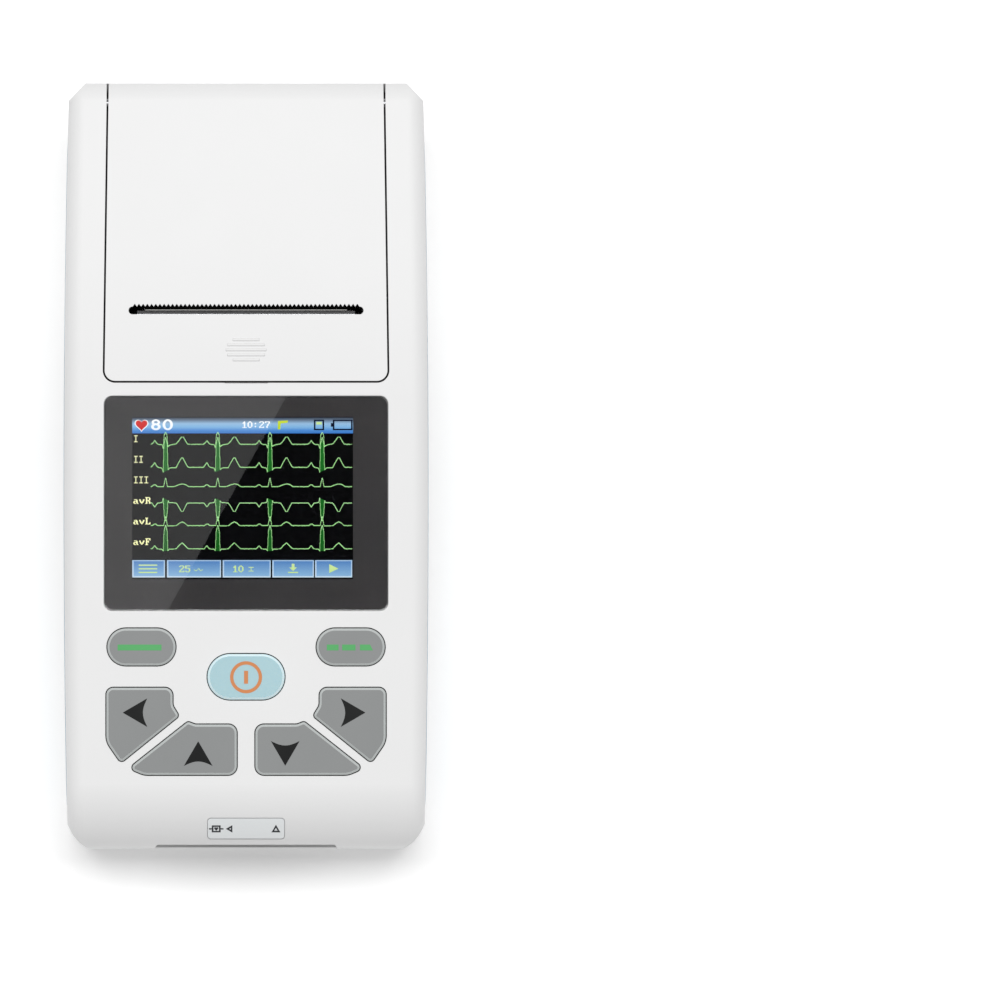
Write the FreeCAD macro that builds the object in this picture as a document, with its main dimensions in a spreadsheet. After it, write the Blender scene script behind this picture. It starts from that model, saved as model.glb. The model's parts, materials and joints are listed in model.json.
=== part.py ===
"""Handheld ECG machine: case, display, seven keys, patient connector, DC inlet and a 50 mm thermal printer.

Everything is drawn in the case's own frame, in millimetres: x to the right, y from the connector end (0) to
the paper end, z = 0 on the flat face and negative into the case. The stance then tilts every piece by the
same angle, so that the machine rests on its belly and on the lower edge of its connector end, with z = 0 on
the table.
"""
import FreeCAD, Part
import math
import os

import Sketcher
from FreeCAD import Placement, Rotation, Units, Vector

os.makedirs("parts", exist_ok=True)
doc = FreeCAD.newDocument("EcgMachine")

# ---------------------------------------------------------------- driving dimensions

SIZES = {
    # case
    "case_length": 190.0,
    "half_width_front": 44.3,
    "half_width_middle": 45.1,
    "half_width_back": 44.0,
    "wall": 2.2,
    "side_round": 4.0,
    "front_depth": 39.0,
    "front_top_round": 16.0,
    "front_bottom_round": 4.5,
    "corner_cut": 4.6,
    "front_corner_back": 6.1,
    "front_corner_in": 5.2,
    "front_corner_round": 9.0,
    "face_flat_end": 113.0,
    "face_bow": 400.0,
    "back_top_round": 5.0,
    "stance_angle": 8.6,
    "neck_y": 102.5,
    "neck_slope": 31.0,
    "neck_round": 30.6,
    "belly_round": 34.7,
    "back_bottom_round": 30.7,
    "seam_depth": 36.6,
    "seam_gap": 0.15,
    # side trims
    "trim_depth": 1.3,
    "trim_proud": 0.15,
    "trim_gap": 0.25,
    "trim_bevel": 0.9,
    # display
    "window_width": 70.2,
    "window_height": 53.0,
    "window_y": 85.8,
    "window_thick": 1.2,
    "window_round": 2.0,
    "lcd_width": 61.0,
    "lcd_height": 46.0,
    "lcd_x": -0.75,
    "lcd_y": 87.1,
    "lcd_thick": 1.4,
    "lcd_top": 2.6,
    # keys
    "key_proud": 0.9,
    "key_gap": 0.25,
    "key_bevel": 0.55,
    "key_flange": 0.6,
    "key_flange_top": 2.7,
    "key_flange_thick": 1.0,
    "key_post_radius": 1.6,
    "key_post_end": 6.1,
    # boards
    "board_thick": 1.6,
    "key_board_top": 7.4,
    "main_board_top": 14.2,
    # patient connector
    "recess_half_width": 21.6,
    "recess_top": 10.3,
    "recess_bottom": 35.0,
    "recess_back": 8.1,
    "connector_depth": 26.5,
    "jackscrew_pitch": 33.3,
    # paper door and its hinge
    "door_front": 116.1,
    "door_half_front": 35.07,
    "door_half_back": 34.05,
    "door_gap": 0.45,
    "door_corner": 2.6,
    "slot_half_width": 29.1,
    "slot_front": 132.6,
    "slot_back": 134.5,
    "slot_tooth": 0.7,
    "hinge_pin_radius": 1.25,
    # printer
    "platen_y": 138.6,
    "platen_depth": 9.4,
    "platen_radius": 4.8,
    "platen_shaft_radius": 2.0,
    "gear_module": 0.5,
    "platen_teeth": 20,
    "idler_small_teeth": 12,
    "idler_big_teeth": 30,
    "pinion_teeth": 10,
    "running_gap": 0.05,
    "plate_inner": 29.5,
    "plate_thick": 1.5,
    # paper
    "paper_width": 50.0,
    "roll_y": 162.0,
    "roll_depth": 36.0,
    "roll_radius": 19.5,
    "core_outer": 7.0,
    "core_inner": 5.1,
    "spindle_radius": 4.8,
    "trough_radius": 21.0,
    "trough_thick": 1.4,
    "sheet_thick": 0.1,
    # battery
    "cell_radius": 9.1,
    "cell_length": 65.0,
}

sheet = doc.addObject("Spreadsheet::Sheet", "Sizes")
for row, (alias, number) in enumerate(SIZES.items(), start=1):
    sheet.set(f"A{row}", alias)
    sheet.set(f"B{row}", str(number))
    sheet.setAlias(f"B{row}", alias)
doc.recompute()


def size(alias):
    """The number in a named cell of the sheet."""
    return float(sheet.get(alias))


# ---------------------------------------------------------------- drawing helpers

ROTATIONS = {
    "XY": Rotation(),
    "YZ": Rotation(Vector(1, 1, 1), 120),
    "XZ": Rotation(Vector(1, 0, 0), 90),
}
AXES = {"XY": Vector(0, 0, 1), "YZ": Vector(1, 0, 0), "XZ": Vector(0, 1, 0)}


def bind(obj, prop, value):
    """Set a size to a number, or tie it to the sheet where the value is an expression."""
    if isinstance(value, str):
        obj.setExpression(prop, value)
    else:
        setattr(obj, prop, value)


def corners(points):
    """Edges of a closed outline through (u, v) or (u, v, radius) corners, each rounded with its radius."""
    spots = [Vector(p[0], p[1], 0) for p in points]
    radii = [p[2] if len(p) > 2 else 0.0 for p in points]
    starts, middles, ends = [], [], []
    for i, spot in enumerate(spots):
        back = (spots[i - 1] - spot).normalize()
        ahead = (spots[(i + 1) % len(spots)] - spot).normalize()
        half = back.getAngle(ahead) / 2
        run = radii[i] / math.tan(half)
        starts.append(spot + back * run)
        ends.append(spot + ahead * run)
        inward = (back + ahead).normalize()
        middles.append(spot + inward * (radii[i] / math.sin(half) - radii[i]))
    edges = []
    for i in range(len(spots)):
        if radii[i] > 0:
            edges.append(Part.Arc(starts[i], middles[i], ends[i]))
        following = starts[(i + 1) % len(spots)]
        if ends[i].distanceToPoint(following) > 1e-6:
            edges.append(Part.LineSegment(ends[i], following))
    return edges


def rectangle(x0, y0, x1, y1, radius=0.0):
    """Edges of a rectangle with rounded corners."""
    return corners([(x0, y0, radius), (x1, y0, radius), (x1, y1, radius), (x0, y1, radius)])


def draw(name, plane, level, edges):
    """A sketch on a plane parallel to a principal one, at the coordinate `level` along that plane's axis."""
    sketch = doc.addObject("Sketcher::SketchObject", name)
    sketch.Placement = Placement(AXES[plane] * level, ROTATIONS[plane])
    sketch.addGeometry(edges, False)
    return sketch


def extrude(name, base, plane, length):
    """A solid from a closed outline, growing along the positive axis of its plane."""
    solid = doc.addObject("Part::Extrusion", name)
    solid.Base = base
    solid.DirMode = "Custom"
    solid.Dir = AXES[plane]
    solid.Solid = True
    bind(solid, "LengthFwd", length)
    return solid


def prism(name, plane, level, edges, length):
    """Sketch and extrusion in one step."""
    return extrude(name, draw(name + "_outline", plane, level, edges), plane, length)


def offset(name, base, distance):
    """An outline moved outwards, or inwards for a negative distance."""
    moved = doc.addObject("Part::Offset2D", name)
    moved.Source = base
    moved.Join = "Intersection"
    bind(moved, "Value", distance)
    return moved


def box(name, low, high):
    """A block between two opposite corners."""
    block = doc.addObject("Part::Box", name)
    block.Placement.Base = Vector(*low)
    for prop, start, end in zip(("Length", "Width", "Height"), low, high):
        setattr(block, prop, end - start)
    return block


def rod(name, plane, centre, level, radius, length):
    """A cylinder along the axis of a plane, growing from the coordinate `level`."""
    cylinder = doc.addObject("Part::Cylinder", name)
    turn = {
        "XY": Rotation(),
        "YZ": Rotation(Vector(0, 1, 0), 90),
        "XZ": Rotation(Vector(1, 0, 0), -90),
    }[plane]
    u, v = centre
    base = {"XY": Vector(u, v, level), "YZ": Vector(level, u, v), "XZ": Vector(u, level, v)}[plane]
    cylinder.Placement = Placement(base, turn)
    bind(cylinder, "Radius", radius)
    bind(cylinder, "Height", length)
    return cylinder


def fuse(name, shapes):
    joined = doc.addObject("Part::MultiFuse", name)
    joined.Shapes = shapes
    return joined


def common(name, shapes):
    shared = doc.addObject("Part::MultiCommon", name)
    shared.Shapes = shapes
    return shared


def cut(name, base, tools):
    """The base without the tools."""
    result = doc.addObject("Part::Cut", name)
    result.Base = base
    result.Tool = tools[0] if len(tools) == 1 else fuse(name + "_tools", tools)
    return result


def group(name, shapes):
    """Separate solids that share one node."""
    together = doc.addObject("Part::Compound", name)
    together.Links = shapes
    return together


def round_edges(name, base, radius, keep, kind="Part::Fillet"):
    """Fillet or chamfer the edges that `keep` accepts."""
    doc.recompute()
    chosen = [i for i, edge in enumerate(base.Shape.Edges, start=1) if keep(edge)]
    result = doc.addObject(kind, name)
    result.Base = base
    result.Edges = [(i, radius, radius) for i in chosen]
    return result


# PartDesign bodies: plates and turned pieces


def body_sketch(body, plane, name, shift=(0.0, 0.0), level=0.0):
    """A sketch on the body's own origin plane, shifted in the plane and along the plane's axis."""
    role = {"XY": "XY_Plane", "YZ": "YZ_Plane", "XZ": "XZ_Plane"}[plane]
    support = [feature for feature in body.Origin.OriginFeatures if feature.Role == role][0]
    sketch = body.newObject("Sketcher::SketchObject", name)
    sketch.AttachmentSupport = (support, [""])
    sketch.MapMode = "FlatFace"
    along = -level if plane == "XZ" else level
    sketch.AttachmentOffset = Placement(Vector(shift[0], shift[1], along), Rotation())
    return sketch


def centred_rectangle(sketch, width, height):
    """A rectangle about the sketch's origin whose width and height are constraints tied to the sheet."""
    half = (20.0, 10.0)
    spots = [Vector(-half[0], -half[1], 0), Vector(half[0], -half[1], 0)]
    spots += [Vector(half[0], half[1], 0), Vector(-half[0], half[1], 0)]
    for i in range(4):
        sketch.addGeometry(Part.LineSegment(spots[i], spots[(i + 1) % 4]), False)
    for i in range(4):
        sketch.addConstraint(Sketcher.Constraint("Coincident", i, 2, (i + 1) % 4, 1))
    for i, kind in enumerate(("Horizontal", "Vertical", "Horizontal", "Vertical")):
        sketch.addConstraint(Sketcher.Constraint(kind, i))
    sketch.addConstraint(Sketcher.Constraint("Symmetric", 0, 1, 1, 2, -1, 1))
    for name, edge, kind, value in (("across", 0, "DistanceX", width), ("along", 1, "DistanceY", height)):
        number = sketch.addConstraint(Sketcher.Constraint(kind, edge, 1, edge, 2, 10.0))
        sketch.renameConstraint(number, name)
        if isinstance(value, str):
            sketch.setExpression("Constraints." + name, value)
        else:
            sketch.setDatum(number, Units.Quantity(value, Units.Length))


def pad(body, sketch, length, name, towards_minus=False):
    """Grow a sketch along the positive axis of its plane, or the negative one."""
    feature = body.newObject("PartDesign::Pad", name)
    feature.Profile = sketch
    bind(feature, "Length", length)
    on_xz = sketch.AttachmentSupport[0][0].Role == "XZ_Plane"
    feature.Reversed = towards_minus != on_xz
    return feature


def holes(body, plane, level, spots, depth, name):
    """Round holes at (u, v, radius), cut along the positive axis from `level`."""
    sketch = body_sketch(body, plane, name + "_centres", level=level)
    for u, v, radius in spots:
        sketch.addGeometry(Part.Circle(Vector(u, v, 0), Vector(0, 0, 1), radius), False)
    feature = body.newObject("PartDesign::Pocket", name)
    feature.Profile = sketch
    bind(feature, "Length", depth)
    feature.Reversed = plane != "XZ"
    return feature


def plate(label, plane, centre, level, width, height, thick, drilled=()):
    """A rectangular plate as a body: its outline is centred on `centre` and it grows from `level`."""
    body = doc.addObject("PartDesign::Body", label)
    outline = body_sketch(body, plane, label + "_outline", centre, level)
    centred_rectangle(outline, width, height)
    pad(body, outline, thick, label + "_pad")
    if drilled:
        doc.recompute()
        before = body.Shape.Volume
        holes(body, plane, level, drilled, thick, label + "_holes")
        doc.recompute()
        assert body.Shape.Volume < before, label + ": the holes cut nothing"
    return body


def bar(label, plane, centre, level, radius, length):
    """A plain round bar as a body."""
    body = doc.addObject("PartDesign::Body", label)
    sketch = body_sketch(body, plane, label + "_circle", centre, level)
    sketch.addGeometry(Part.Circle(Vector(0, 0, 0), Vector(0, 0, 1), 3.0), False)
    sketch.addConstraint(Sketcher.Constraint("Coincident", 0, 3, -1, 1))
    number = sketch.addConstraint(Sketcher.Constraint("Radius", 0, 3.0))
    sketch.renameConstraint(number, "radius")
    if isinstance(radius, str):
        sketch.setExpression("Constraints.radius", radius)
    else:
        sketch.setDatum(number, Units.Quantity(radius, Units.Length))
    pad(body, sketch, length, label + "_pad")
    return body


# ---------------------------------------------------------------- outer form of the case

LENGTH = size("case_length")
BOW = size("face_bow")
FLAT_END = size("face_flat_end")
TILT = math.radians(size("stance_angle"))
HINGE_Y = LENGTH - size("back_top_round")
HINGE_Z = math.sqrt((BOW - size("back_top_round")) ** 2 - (HINGE_Y - FLAT_END) ** 2) - BOW
FAR = 120.0


def face_height(y):
    """Height of the face at y: flat, then falling away on the large bow."""
    if y <= FLAT_END:
        return 0.0
    return math.sqrt(BOW ** 2 - (y - FLAT_END) ** 2) - BOW


def case_profile():
    """Side view of the case, seen along x: u is y and v is z."""
    top = size("front_top_round")
    low = size("front_bottom_round")
    depth = size("front_depth")
    neck = size("neck_y")
    slope = math.tan(math.radians(size("neck_slope")))
    # the resting plane touches the front lower rounding and runs on under the belly
    rest_y = low - low * math.sin(TILT)
    rest_z = low - depth - low * math.cos(TILT)
    rest_slope = math.tan(TILT)
    # where the neck's slope meets the resting plane
    belly_y = (rest_z + depth + rest_slope * rest_y - slope * neck) / (rest_slope - slope)
    belly_z = rest_z - rest_slope * (belly_y - rest_y)
    back_z = rest_z - rest_slope * (LENGTH - rest_y)
    lower = corners([
        (0.0, HINGE_Z),
        (0.0, -depth, low),
        (neck, -depth, size("neck_round")),
        (belly_y, belly_z, size("belly_round")),
        (LENGTH, back_z, size("back_bottom_round")),
        (LENGTH, HINGE_Z),
    ])
    # the outline closes with a straight line across the top, which the roundings and the bow replace
    lower = lower[:-1]
    diagonal = math.sqrt(0.5)
    halfway = Vector(top - top * diagonal, top * diagonal - top, 0)
    front_top = Part.Arc(Vector(0, -top, 0), halfway, Vector(top, 0, 0))
    front_line = Part.LineSegment(Vector(0, HINGE_Z, 0), Vector(0, -top, 0))
    face = Part.LineSegment(Vector(top, 0, 0), Vector(FLAT_END, 0, 0))
    back = size("back_top_round")
    reach = (HINGE_Y - FLAT_END) * BOW / (BOW - back)
    bow_end = Vector(FLAT_END + reach, face_height(FLAT_END + reach), 0)
    half_way = FLAT_END + reach / 2
    bow = Part.Arc(Vector(FLAT_END, 0, 0), Vector(half_way, face_height(half_way), 0), bow_end)
    turn = math.atan2(bow_end.y - HINGE_Z, bow_end.x - HINGE_Y) / 2
    middle = Vector(HINGE_Y + back * math.cos(turn), HINGE_Z + back * math.sin(turn), 0)
    back_top = Part.Arc(bow_end, middle, Vector(LENGTH, HINGE_Z, 0))
    if HINGE_Z > -top:
        # the front wall starts at the foot of its top rounding
        lower[0] = Part.LineSegment(Vector(0, -top, 0), lower[0].EndPoint)
        return [front_top, face, bow, back_top] + lower
    return [front_top, face, bow, back_top, front_line] + lower


def side_circle():
    """The large circle that the case's right side follows in plan, through three of its widths."""
    spots = []
    for y, alias in ((6.0, "half_width_front"), (100.0, "half_width_middle"), (185.4, "half_width_back")):
        spots.append(Vector(size(alias), y, 0))
    return Part.Circle(*spots)


SIDE = side_circle()


def half_width(y):
    """Half width of the case at y."""
    return SIDE.Center.x + math.sqrt(SIDE.Radius ** 2 - (y - SIDE.Center.y) ** 2)


def plan(inset):
    """Plan outline between the two long sides, running past both ends."""
    over = 8.0
    low, high = -over, LENGTH + over
    spots = {}
    for sign in (-1, 1):
        for y in (low, LENGTH / 2, high):
            spots[sign, y] = Vector(sign * (half_width(y) - inset), y, 0)
    middle = LENGTH / 2
    return [
        Part.Arc(spots[1, low], spots[1, middle], spots[1, high]),
        Part.LineSegment(spots[1, high], spots[-1, high]),
        Part.Arc(spots[-1, high], spots[-1, middle], spots[-1, low]),
        Part.LineSegment(spots[-1, low], spots[1, low]),
    ]


def corner_cut_plan(inset):
    """Wide plan outline whose only work is to shape the four upright corners.

    The paper end has plain cut corners. At the connector end two lines lean into each corner, the steep one
    from the side and the shallow one from the front, and a large radius joins them.
    """
    cut_back = size("corner_cut")
    reach = cut_back / 2
    x_front = size("half_width_front") - inset
    x_back = size("half_width_back") - inset
    low, high = inset, LENGTH - inset
    steep, shallow = 1.9, 0.68
    side_y = low + size("front_corner_back")
    front_x = x_front - size("front_corner_in")
    # the two lines meet where side_y - steep * u = shallow * (width - u), with u measured in from the side
    meet = (side_y - low - shallow * (x_front - front_x)) / (steep - shallow)
    right = [
        (x_front + reach, side_y + steep * reach),
        (x_front - meet, side_y - steep * meet, size("front_corner_round")),
        (front_x - reach / shallow, low - reach),
    ]
    top = [
        (x_back - cut_back + 0.6 - reach, high + reach),
        (x_back + reach, high - cut_back - reach),
    ]
    left = [(-x, y) for x, y in reversed(top)]
    bottom = [(-x, *rest) for x, *rest in reversed(right)]
    return corners([right[0], *reversed(top), *reversed(left), *reversed(bottom), right[2], right[1]])


def not_along_x(edge):
    """True for the edges around the two long sides."""
    start, end = edge.Vertexes[0].Point, edge.Vertexes[-1].Point
    return abs(start.x - end.x) < abs(start.sub(end).Length) * 0.9 and abs(start.x) > 1.0


def case_solid(name, profile_base, inset, radius):
    """Profile swept across the plan, its long edges rounded and its corners cut."""
    run = extrude(name + "_run", profile_base, "YZ", 2 * FAR)
    run.Dir = Vector(1, 0, 0)
    run.LengthFwd = FAR
    run.LengthRev = FAR
    sides = prism(name + "_sides", "XY", -FAR, plan(inset), 2 * FAR)
    block = common(name + "_block", [run, sides])
    rounded = round_edges(name + "_rounded", block, radius, not_along_x)
    corner_tool = prism(name + "_corners", "XY", -FAR, corner_cut_plan(inset), 2 * FAR)
    return common(name, [rounded, corner_tool])


profile = draw("case_profile", "YZ", 0.0, case_profile())
inner_profile = offset("case_profile_inner", profile, "-Sizes.wall")
outer = case_solid("case_outer", profile, 0.0, size("side_round"))
inner = case_solid("case_inner", inner_profile, size("wall"), size("side_round") - size("wall"))
doc.recompute()


# ---------------------------------------------------------------- the pieces, gathered by node name

nodes = {}


def node(label, piece):
    nodes[label] = piece
    return piece


# ---------------------------------------------------------------- keys


def mirrored(points):
    """The same outline on the other side of the machine's middle plane."""
    return [(-p[0], *p[1:]) for p in reversed(points)]


def stadium(x, y, width, height):
    """Corner list of a bar with half-round ends."""
    r = height / 2
    left, right, low, high = x - width / 2, x + width / 2, y - r, y + r
    return [(left, low, r), (right, low, r), (right, high, r), (left, high, r)]


SIDE_ARROW = [
    (-34.6, 40.1, 1.7), (-34.6, 26.7, 5.0), (-31.0, 21.5, 1.0),
    (-16.6, 33.1, 0.9), (-18.2, 35.7, 2.5), (-18.2, 40.1, 1.9),
]
LOWER_ARROW = [
    (-14.4, 31.7, 0.9), (-29.1, 20.1, 1.0), (-25.3, 18.5, 5.0),
    (-2.3, 18.5, 2.2), (-2.3, 31.0, 2.1), (-12.6, 31.0, 2.0),
]
# name: corner list, centre of the plunger
KEYS = {
    "left_oval_key": (stadium(-25.9, 50.2, 16.9, 9.2), (-25.9, 50.2)),
    "right_oval_key": (stadium(25.9, 50.2, 16.9, 9.2), (25.9, 50.2)),
    "power_key": (stadium(0.0, 42.8, 19.1, 11.3), (0.0, 42.8)),
    "left_arrow_key": (SIDE_ARROW, (-27.5, 32.5)),
    "right_arrow_key": (mirrored(SIDE_ARROW), (27.5, 32.5)),
    "up_arrow_key": (LOWER_ARROW, (-12.0, 24.0)),
    "down_arrow_key": (mirrored(LOWER_ARROW), (12.0, 24.0)),
}


def key_cap(label, outline, centre):
    """A cap with a bevelled top, a flange and a plunger. Returns its opening in the case."""
    flange_top = size("key_flange_top")
    flange_low = flange_top + size("key_flange_thick")
    sketch = draw(label + "_outline", "XY", -flange_top, corners(outline))
    cap = extrude(label + "_cap", sketch, "XY", "Sizes.key_flange_top + Sizes.key_proud")
    low_sketch = draw(label + "_flange_outline", "XY", -flange_low, corners(outline))
    flange_outline = offset(label + "_flange_offset", low_sketch, "Sizes.key_flange")
    flange = extrude(label + "_flange", flange_outline, "XY", "Sizes.key_flange_thick")
    post = rod(label + "_post", "XY", centre, -size("key_post_end"), "Sizes.key_post_radius",
               "Sizes.key_post_end - Sizes.key_flange_top - Sizes.key_flange_thick / 2")
    top = size("key_proud")
    bevelled = round_edges(label + "_bevelled", cap, size("key_bevel"),
                           lambda edge: edge.BoundBox.ZMin > top - 0.01, "Part::Chamfer")
    node(label, fuse(label, [bevelled, flange, post]))
    opening_outline = offset(label + "_opening_offset", low_sketch, "Sizes.key_gap")
    return extrude(label + "_opening", opening_outline, "XY", 12.0)


key_openings = [key_cap(label, outline, centre) for label, (outline, centre) in KEYS.items()]
KEY_CENTRES = [centre for outline, centre in KEYS.values()]

# ---------------------------------------------------------------- side trims


def trim_outline(grow=0.0):
    """Side view of a trim: u is y and v is z."""
    return [
        (9.8 - grow, -8.5 + grow, 13.0), (118.0, -8.9 + grow, 60.0), (172.0 + grow, -16.6 + grow, 12.0),
        (181.5 + grow, -34.4 - grow, 7.5), (9.8 - grow, -34.4 - grow, 12.5),
    ]


def trim(label, sign):
    """A trim let into the case's side. Returns the seat to take out of the case."""
    pieces = {}
    for kind, grow in (("", 0.0), ("_seat", size("trim_gap"))):
        block = prism(label + kind + "_block", "YZ", 36.0 * sign if sign > 0 else -56.0,
                      corners(trim_outline(grow)), 20.0)
        floor_inset = size("trim_depth") + (0.0 if kind else -0.05)
        floor_prism = prism(label + kind + "_floor", "XY", -FAR, plan(floor_inset), 2 * FAR)
        pieces[kind] = cut(label + kind + "_raw", block, [floor_prism])
    skin = prism(label + "_skin", "XY", -FAR, plan(-size("trim_proud")), 2 * FAR)
    panel = common(label + "_panel", [pieces[""], skin])

    def rim(edge):
        spots = [vertex.Point for vertex in edge.Vertexes]
        return all(abs(abs(spot.x) - half_width(spot.y) - size("trim_proud")) < 0.05 for spot in spots)

    bevelled = round_edges(label + "_bevelled", panel, size("trim_bevel"), rim, "Part::Chamfer")
    if sign < 0:
        window = box(label + "_inlet", (-60.0, 98.0, -26.5), (-30.0, 107.0, -15.5))
        bevelled = cut(label, bevelled, [window])
    node(label, bevelled)
    return pieces["_seat"]


left_seat = trim("left_trim", -1)
right_seat = trim("right_trim", 1)

# ---------------------------------------------------------------- paper door


def door_half_width(y):
    """The door narrows steadily towards the hinge."""
    front, back = size("door_half_front"), size("door_half_back")
    return front + (back - front) * (y - size("door_front")) / (LENGTH - size("door_front"))


def door_plan(gap):
    """Door outline in plan, grown by the gap for the opening in the case."""
    front = size("door_front") - gap
    back = LENGTH + 8.0
    x_front, x_back = door_half_width(front) + gap, door_half_width(back) + gap
    round_front = size("door_corner") + gap
    return corners([
        (-x_front, front, round_front), (x_front, front, round_front),
        (x_back, back), (-x_back, back),
    ])


def slot_outline():
    """Paper slot with half-round ends and a row of teeth along its far edge."""
    half, front, back = size("slot_half_width"), size("slot_front"), size("slot_back")
    radius = (back - front) / 2
    pitch = 1.04
    count = 2 * int((half - radius) / pitch)
    start = -count * pitch / 2
    spots = [Vector(start, back, 0)]
    for i in range(count):
        spots.append(Vector(start + (i + 0.5) * pitch, back + size("slot_tooth"), 0))
        spots.append(Vector(start + (i + 1) * pitch, back, 0))
    middle = (front + back) / 2
    left, right = -half + radius, half - radius
    edges = [Part.LineSegment(a, b) for a, b in zip(spots, spots[1:])]
    edges.append(Part.LineSegment(spots[-1], Vector(right, back, 0)))
    edges.append(Part.Arc(Vector(right, back, 0), Vector(half, middle, 0), Vector(right, front, 0)))
    edges.append(Part.LineSegment(Vector(right, front, 0), Vector(left, front, 0)))
    edges.append(Part.Arc(Vector(left, front, 0), Vector(-half, middle, 0), Vector(left, back, 0)))
    edges.append(Part.LineSegment(Vector(left, back, 0), spots[0]))
    return edges


BARREL = size("back_top_round")
PLATEN = (size("platen_y"), -size("platen_depth"))
LUG_INNER, LUG_OUTER = 27.0, 29.0
BUSH_RADIUS = 3.0
TROUGH_SIDE = 28.4


def paper_door():
    """Curved skin with its hinge barrel, lugs for the platen, paper slot and grip ridges."""
    area = prism("door_area", "XY", HINGE_Z, door_plan(0.0), 30.0)
    skin_block = common("door_block", [outer, area])
    skin = cut("door_skin", skin_block, [inner])
    barrel_half = door_half_width(HINGE_Y) - 0.1
    barrel = rod("door_barrel", "YZ", (HINGE_Y, HINGE_Z), -barrel_half, "Sizes.back_top_round",
                 2 * barrel_half)
    lugs = []
    for sign in (-1, 1):
        low_x = LUG_INNER if sign > 0 else -LUG_OUTER
        lugs.append(box(f"door_lug_{sign}", (low_x, PLATEN[0] - 2.4, PLATEN[1] - 3.2),
                        (low_x + LUG_OUTER - LUG_INNER, PLATEN[0] + 3.4, -2.2)))
    for number, y in enumerate((150.0, 160.0, 170.0)):
        lugs.append(box(f"door_cross_rib_{number}", (-31.5, y, -6.6), (31.5, y + 1.2, face_height(y) - 1.2)))
    ridges = []
    for number in range(5):
        y = 123.8 + (number - 2) * 1.25
        half = 5.0 * math.sqrt(1 - ((number - 2) * 1.25 / 3.3) ** 2)
        ridges.append(rod(f"door_ridge_{number}", "YZ", (y, face_height(y) - 0.12), -half, 0.36, 2 * half))
    whole = fuse("door_whole", [skin, barrel, *lugs, *ridges])
    slot = prism("door_slot", "XY", -4.0, slot_outline(), 10.0)
    pin_bore = rod("door_pin_bore", "YZ", (HINGE_Y, HINGE_Z), -FAR,
                   "Sizes.hinge_pin_radius + Sizes.running_gap", 2 * FAR)
    bush_bore = rod("door_bush_bore", "YZ", PLATEN, -FAR, BUSH_RADIUS, 2 * FAR)
    node("paper_door", cut("paper_door", whole, [slot, pin_bore, bush_bore]))


paper_door()
barrel_space = door_half_width(HINGE_Y) + size("door_gap")
door_opening = fuse("door_opening", [
    prism("door_space", "XY", HINGE_Z, door_plan(size("door_gap")), 40.0),
    rod("barrel_space", "YZ", (HINGE_Y, HINGE_Z), -barrel_space, BARREL + 0.4, 2 * barrel_space),
])

# the hinge pin is held by an ear of the case on each side of the door
EAR_INNER, EAR_OUTER = 34.9, 38.4
node("door_hinge_pin", bar("door_hinge_pin", "YZ", (HINGE_Y, HINGE_Z), -EAR_OUTER + 0.6,
                           "Sizes.hinge_pin_radius", 2 * (EAR_OUTER - 0.6)))


def tear_bar():
    """Steel strip behind the slot's far edge, with a toothed rim."""
    half, back = 26.6, size("slot_back")
    pitch = 1.04
    count = int(2 * half / pitch)
    start = -count * pitch / 2
    spots = [Vector(start, back + 1.5, 0), Vector(start, back + 0.6, 0)]
    for i in range(count):
        spots.append(Vector(start + (i + 0.5) * pitch, back + 0.05, 0))
        spots.append(Vector(start + (i + 1) * pitch, back + 0.6, 0))
    spots.append(Vector(start + count * pitch, back + 1.5, 0))
    edges = [Part.LineSegment(a, b) for a, b in zip(spots, spots[1:] + spots[:1])]
    node("tear_bar", prism("tear_bar", "XY", -3.45, edges, 0.5))


tear_bar()

# ---------------------------------------------------------------- top case

SEAM = -size("seam_depth")
CONNECTOR_Z = -size("connector_depth")
JACK_Y, JACK_Z = 102.5, -20.9
CASE_SCREWS = [(-33.0, 7.5), (33.0, 7.5), (-38.4, 90.0), (38.4, 90.0)]
KEY_BOARD_SCREWS = [(-38.6, 15.0), (38.6, 15.0), (-38.6, 55.5), (38.6, 55.5)]
SPACERS = [(-30.0, 16.5), (30.0, 16.5), (-30.0, 54.0), (30.0, 54.0)]


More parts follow.
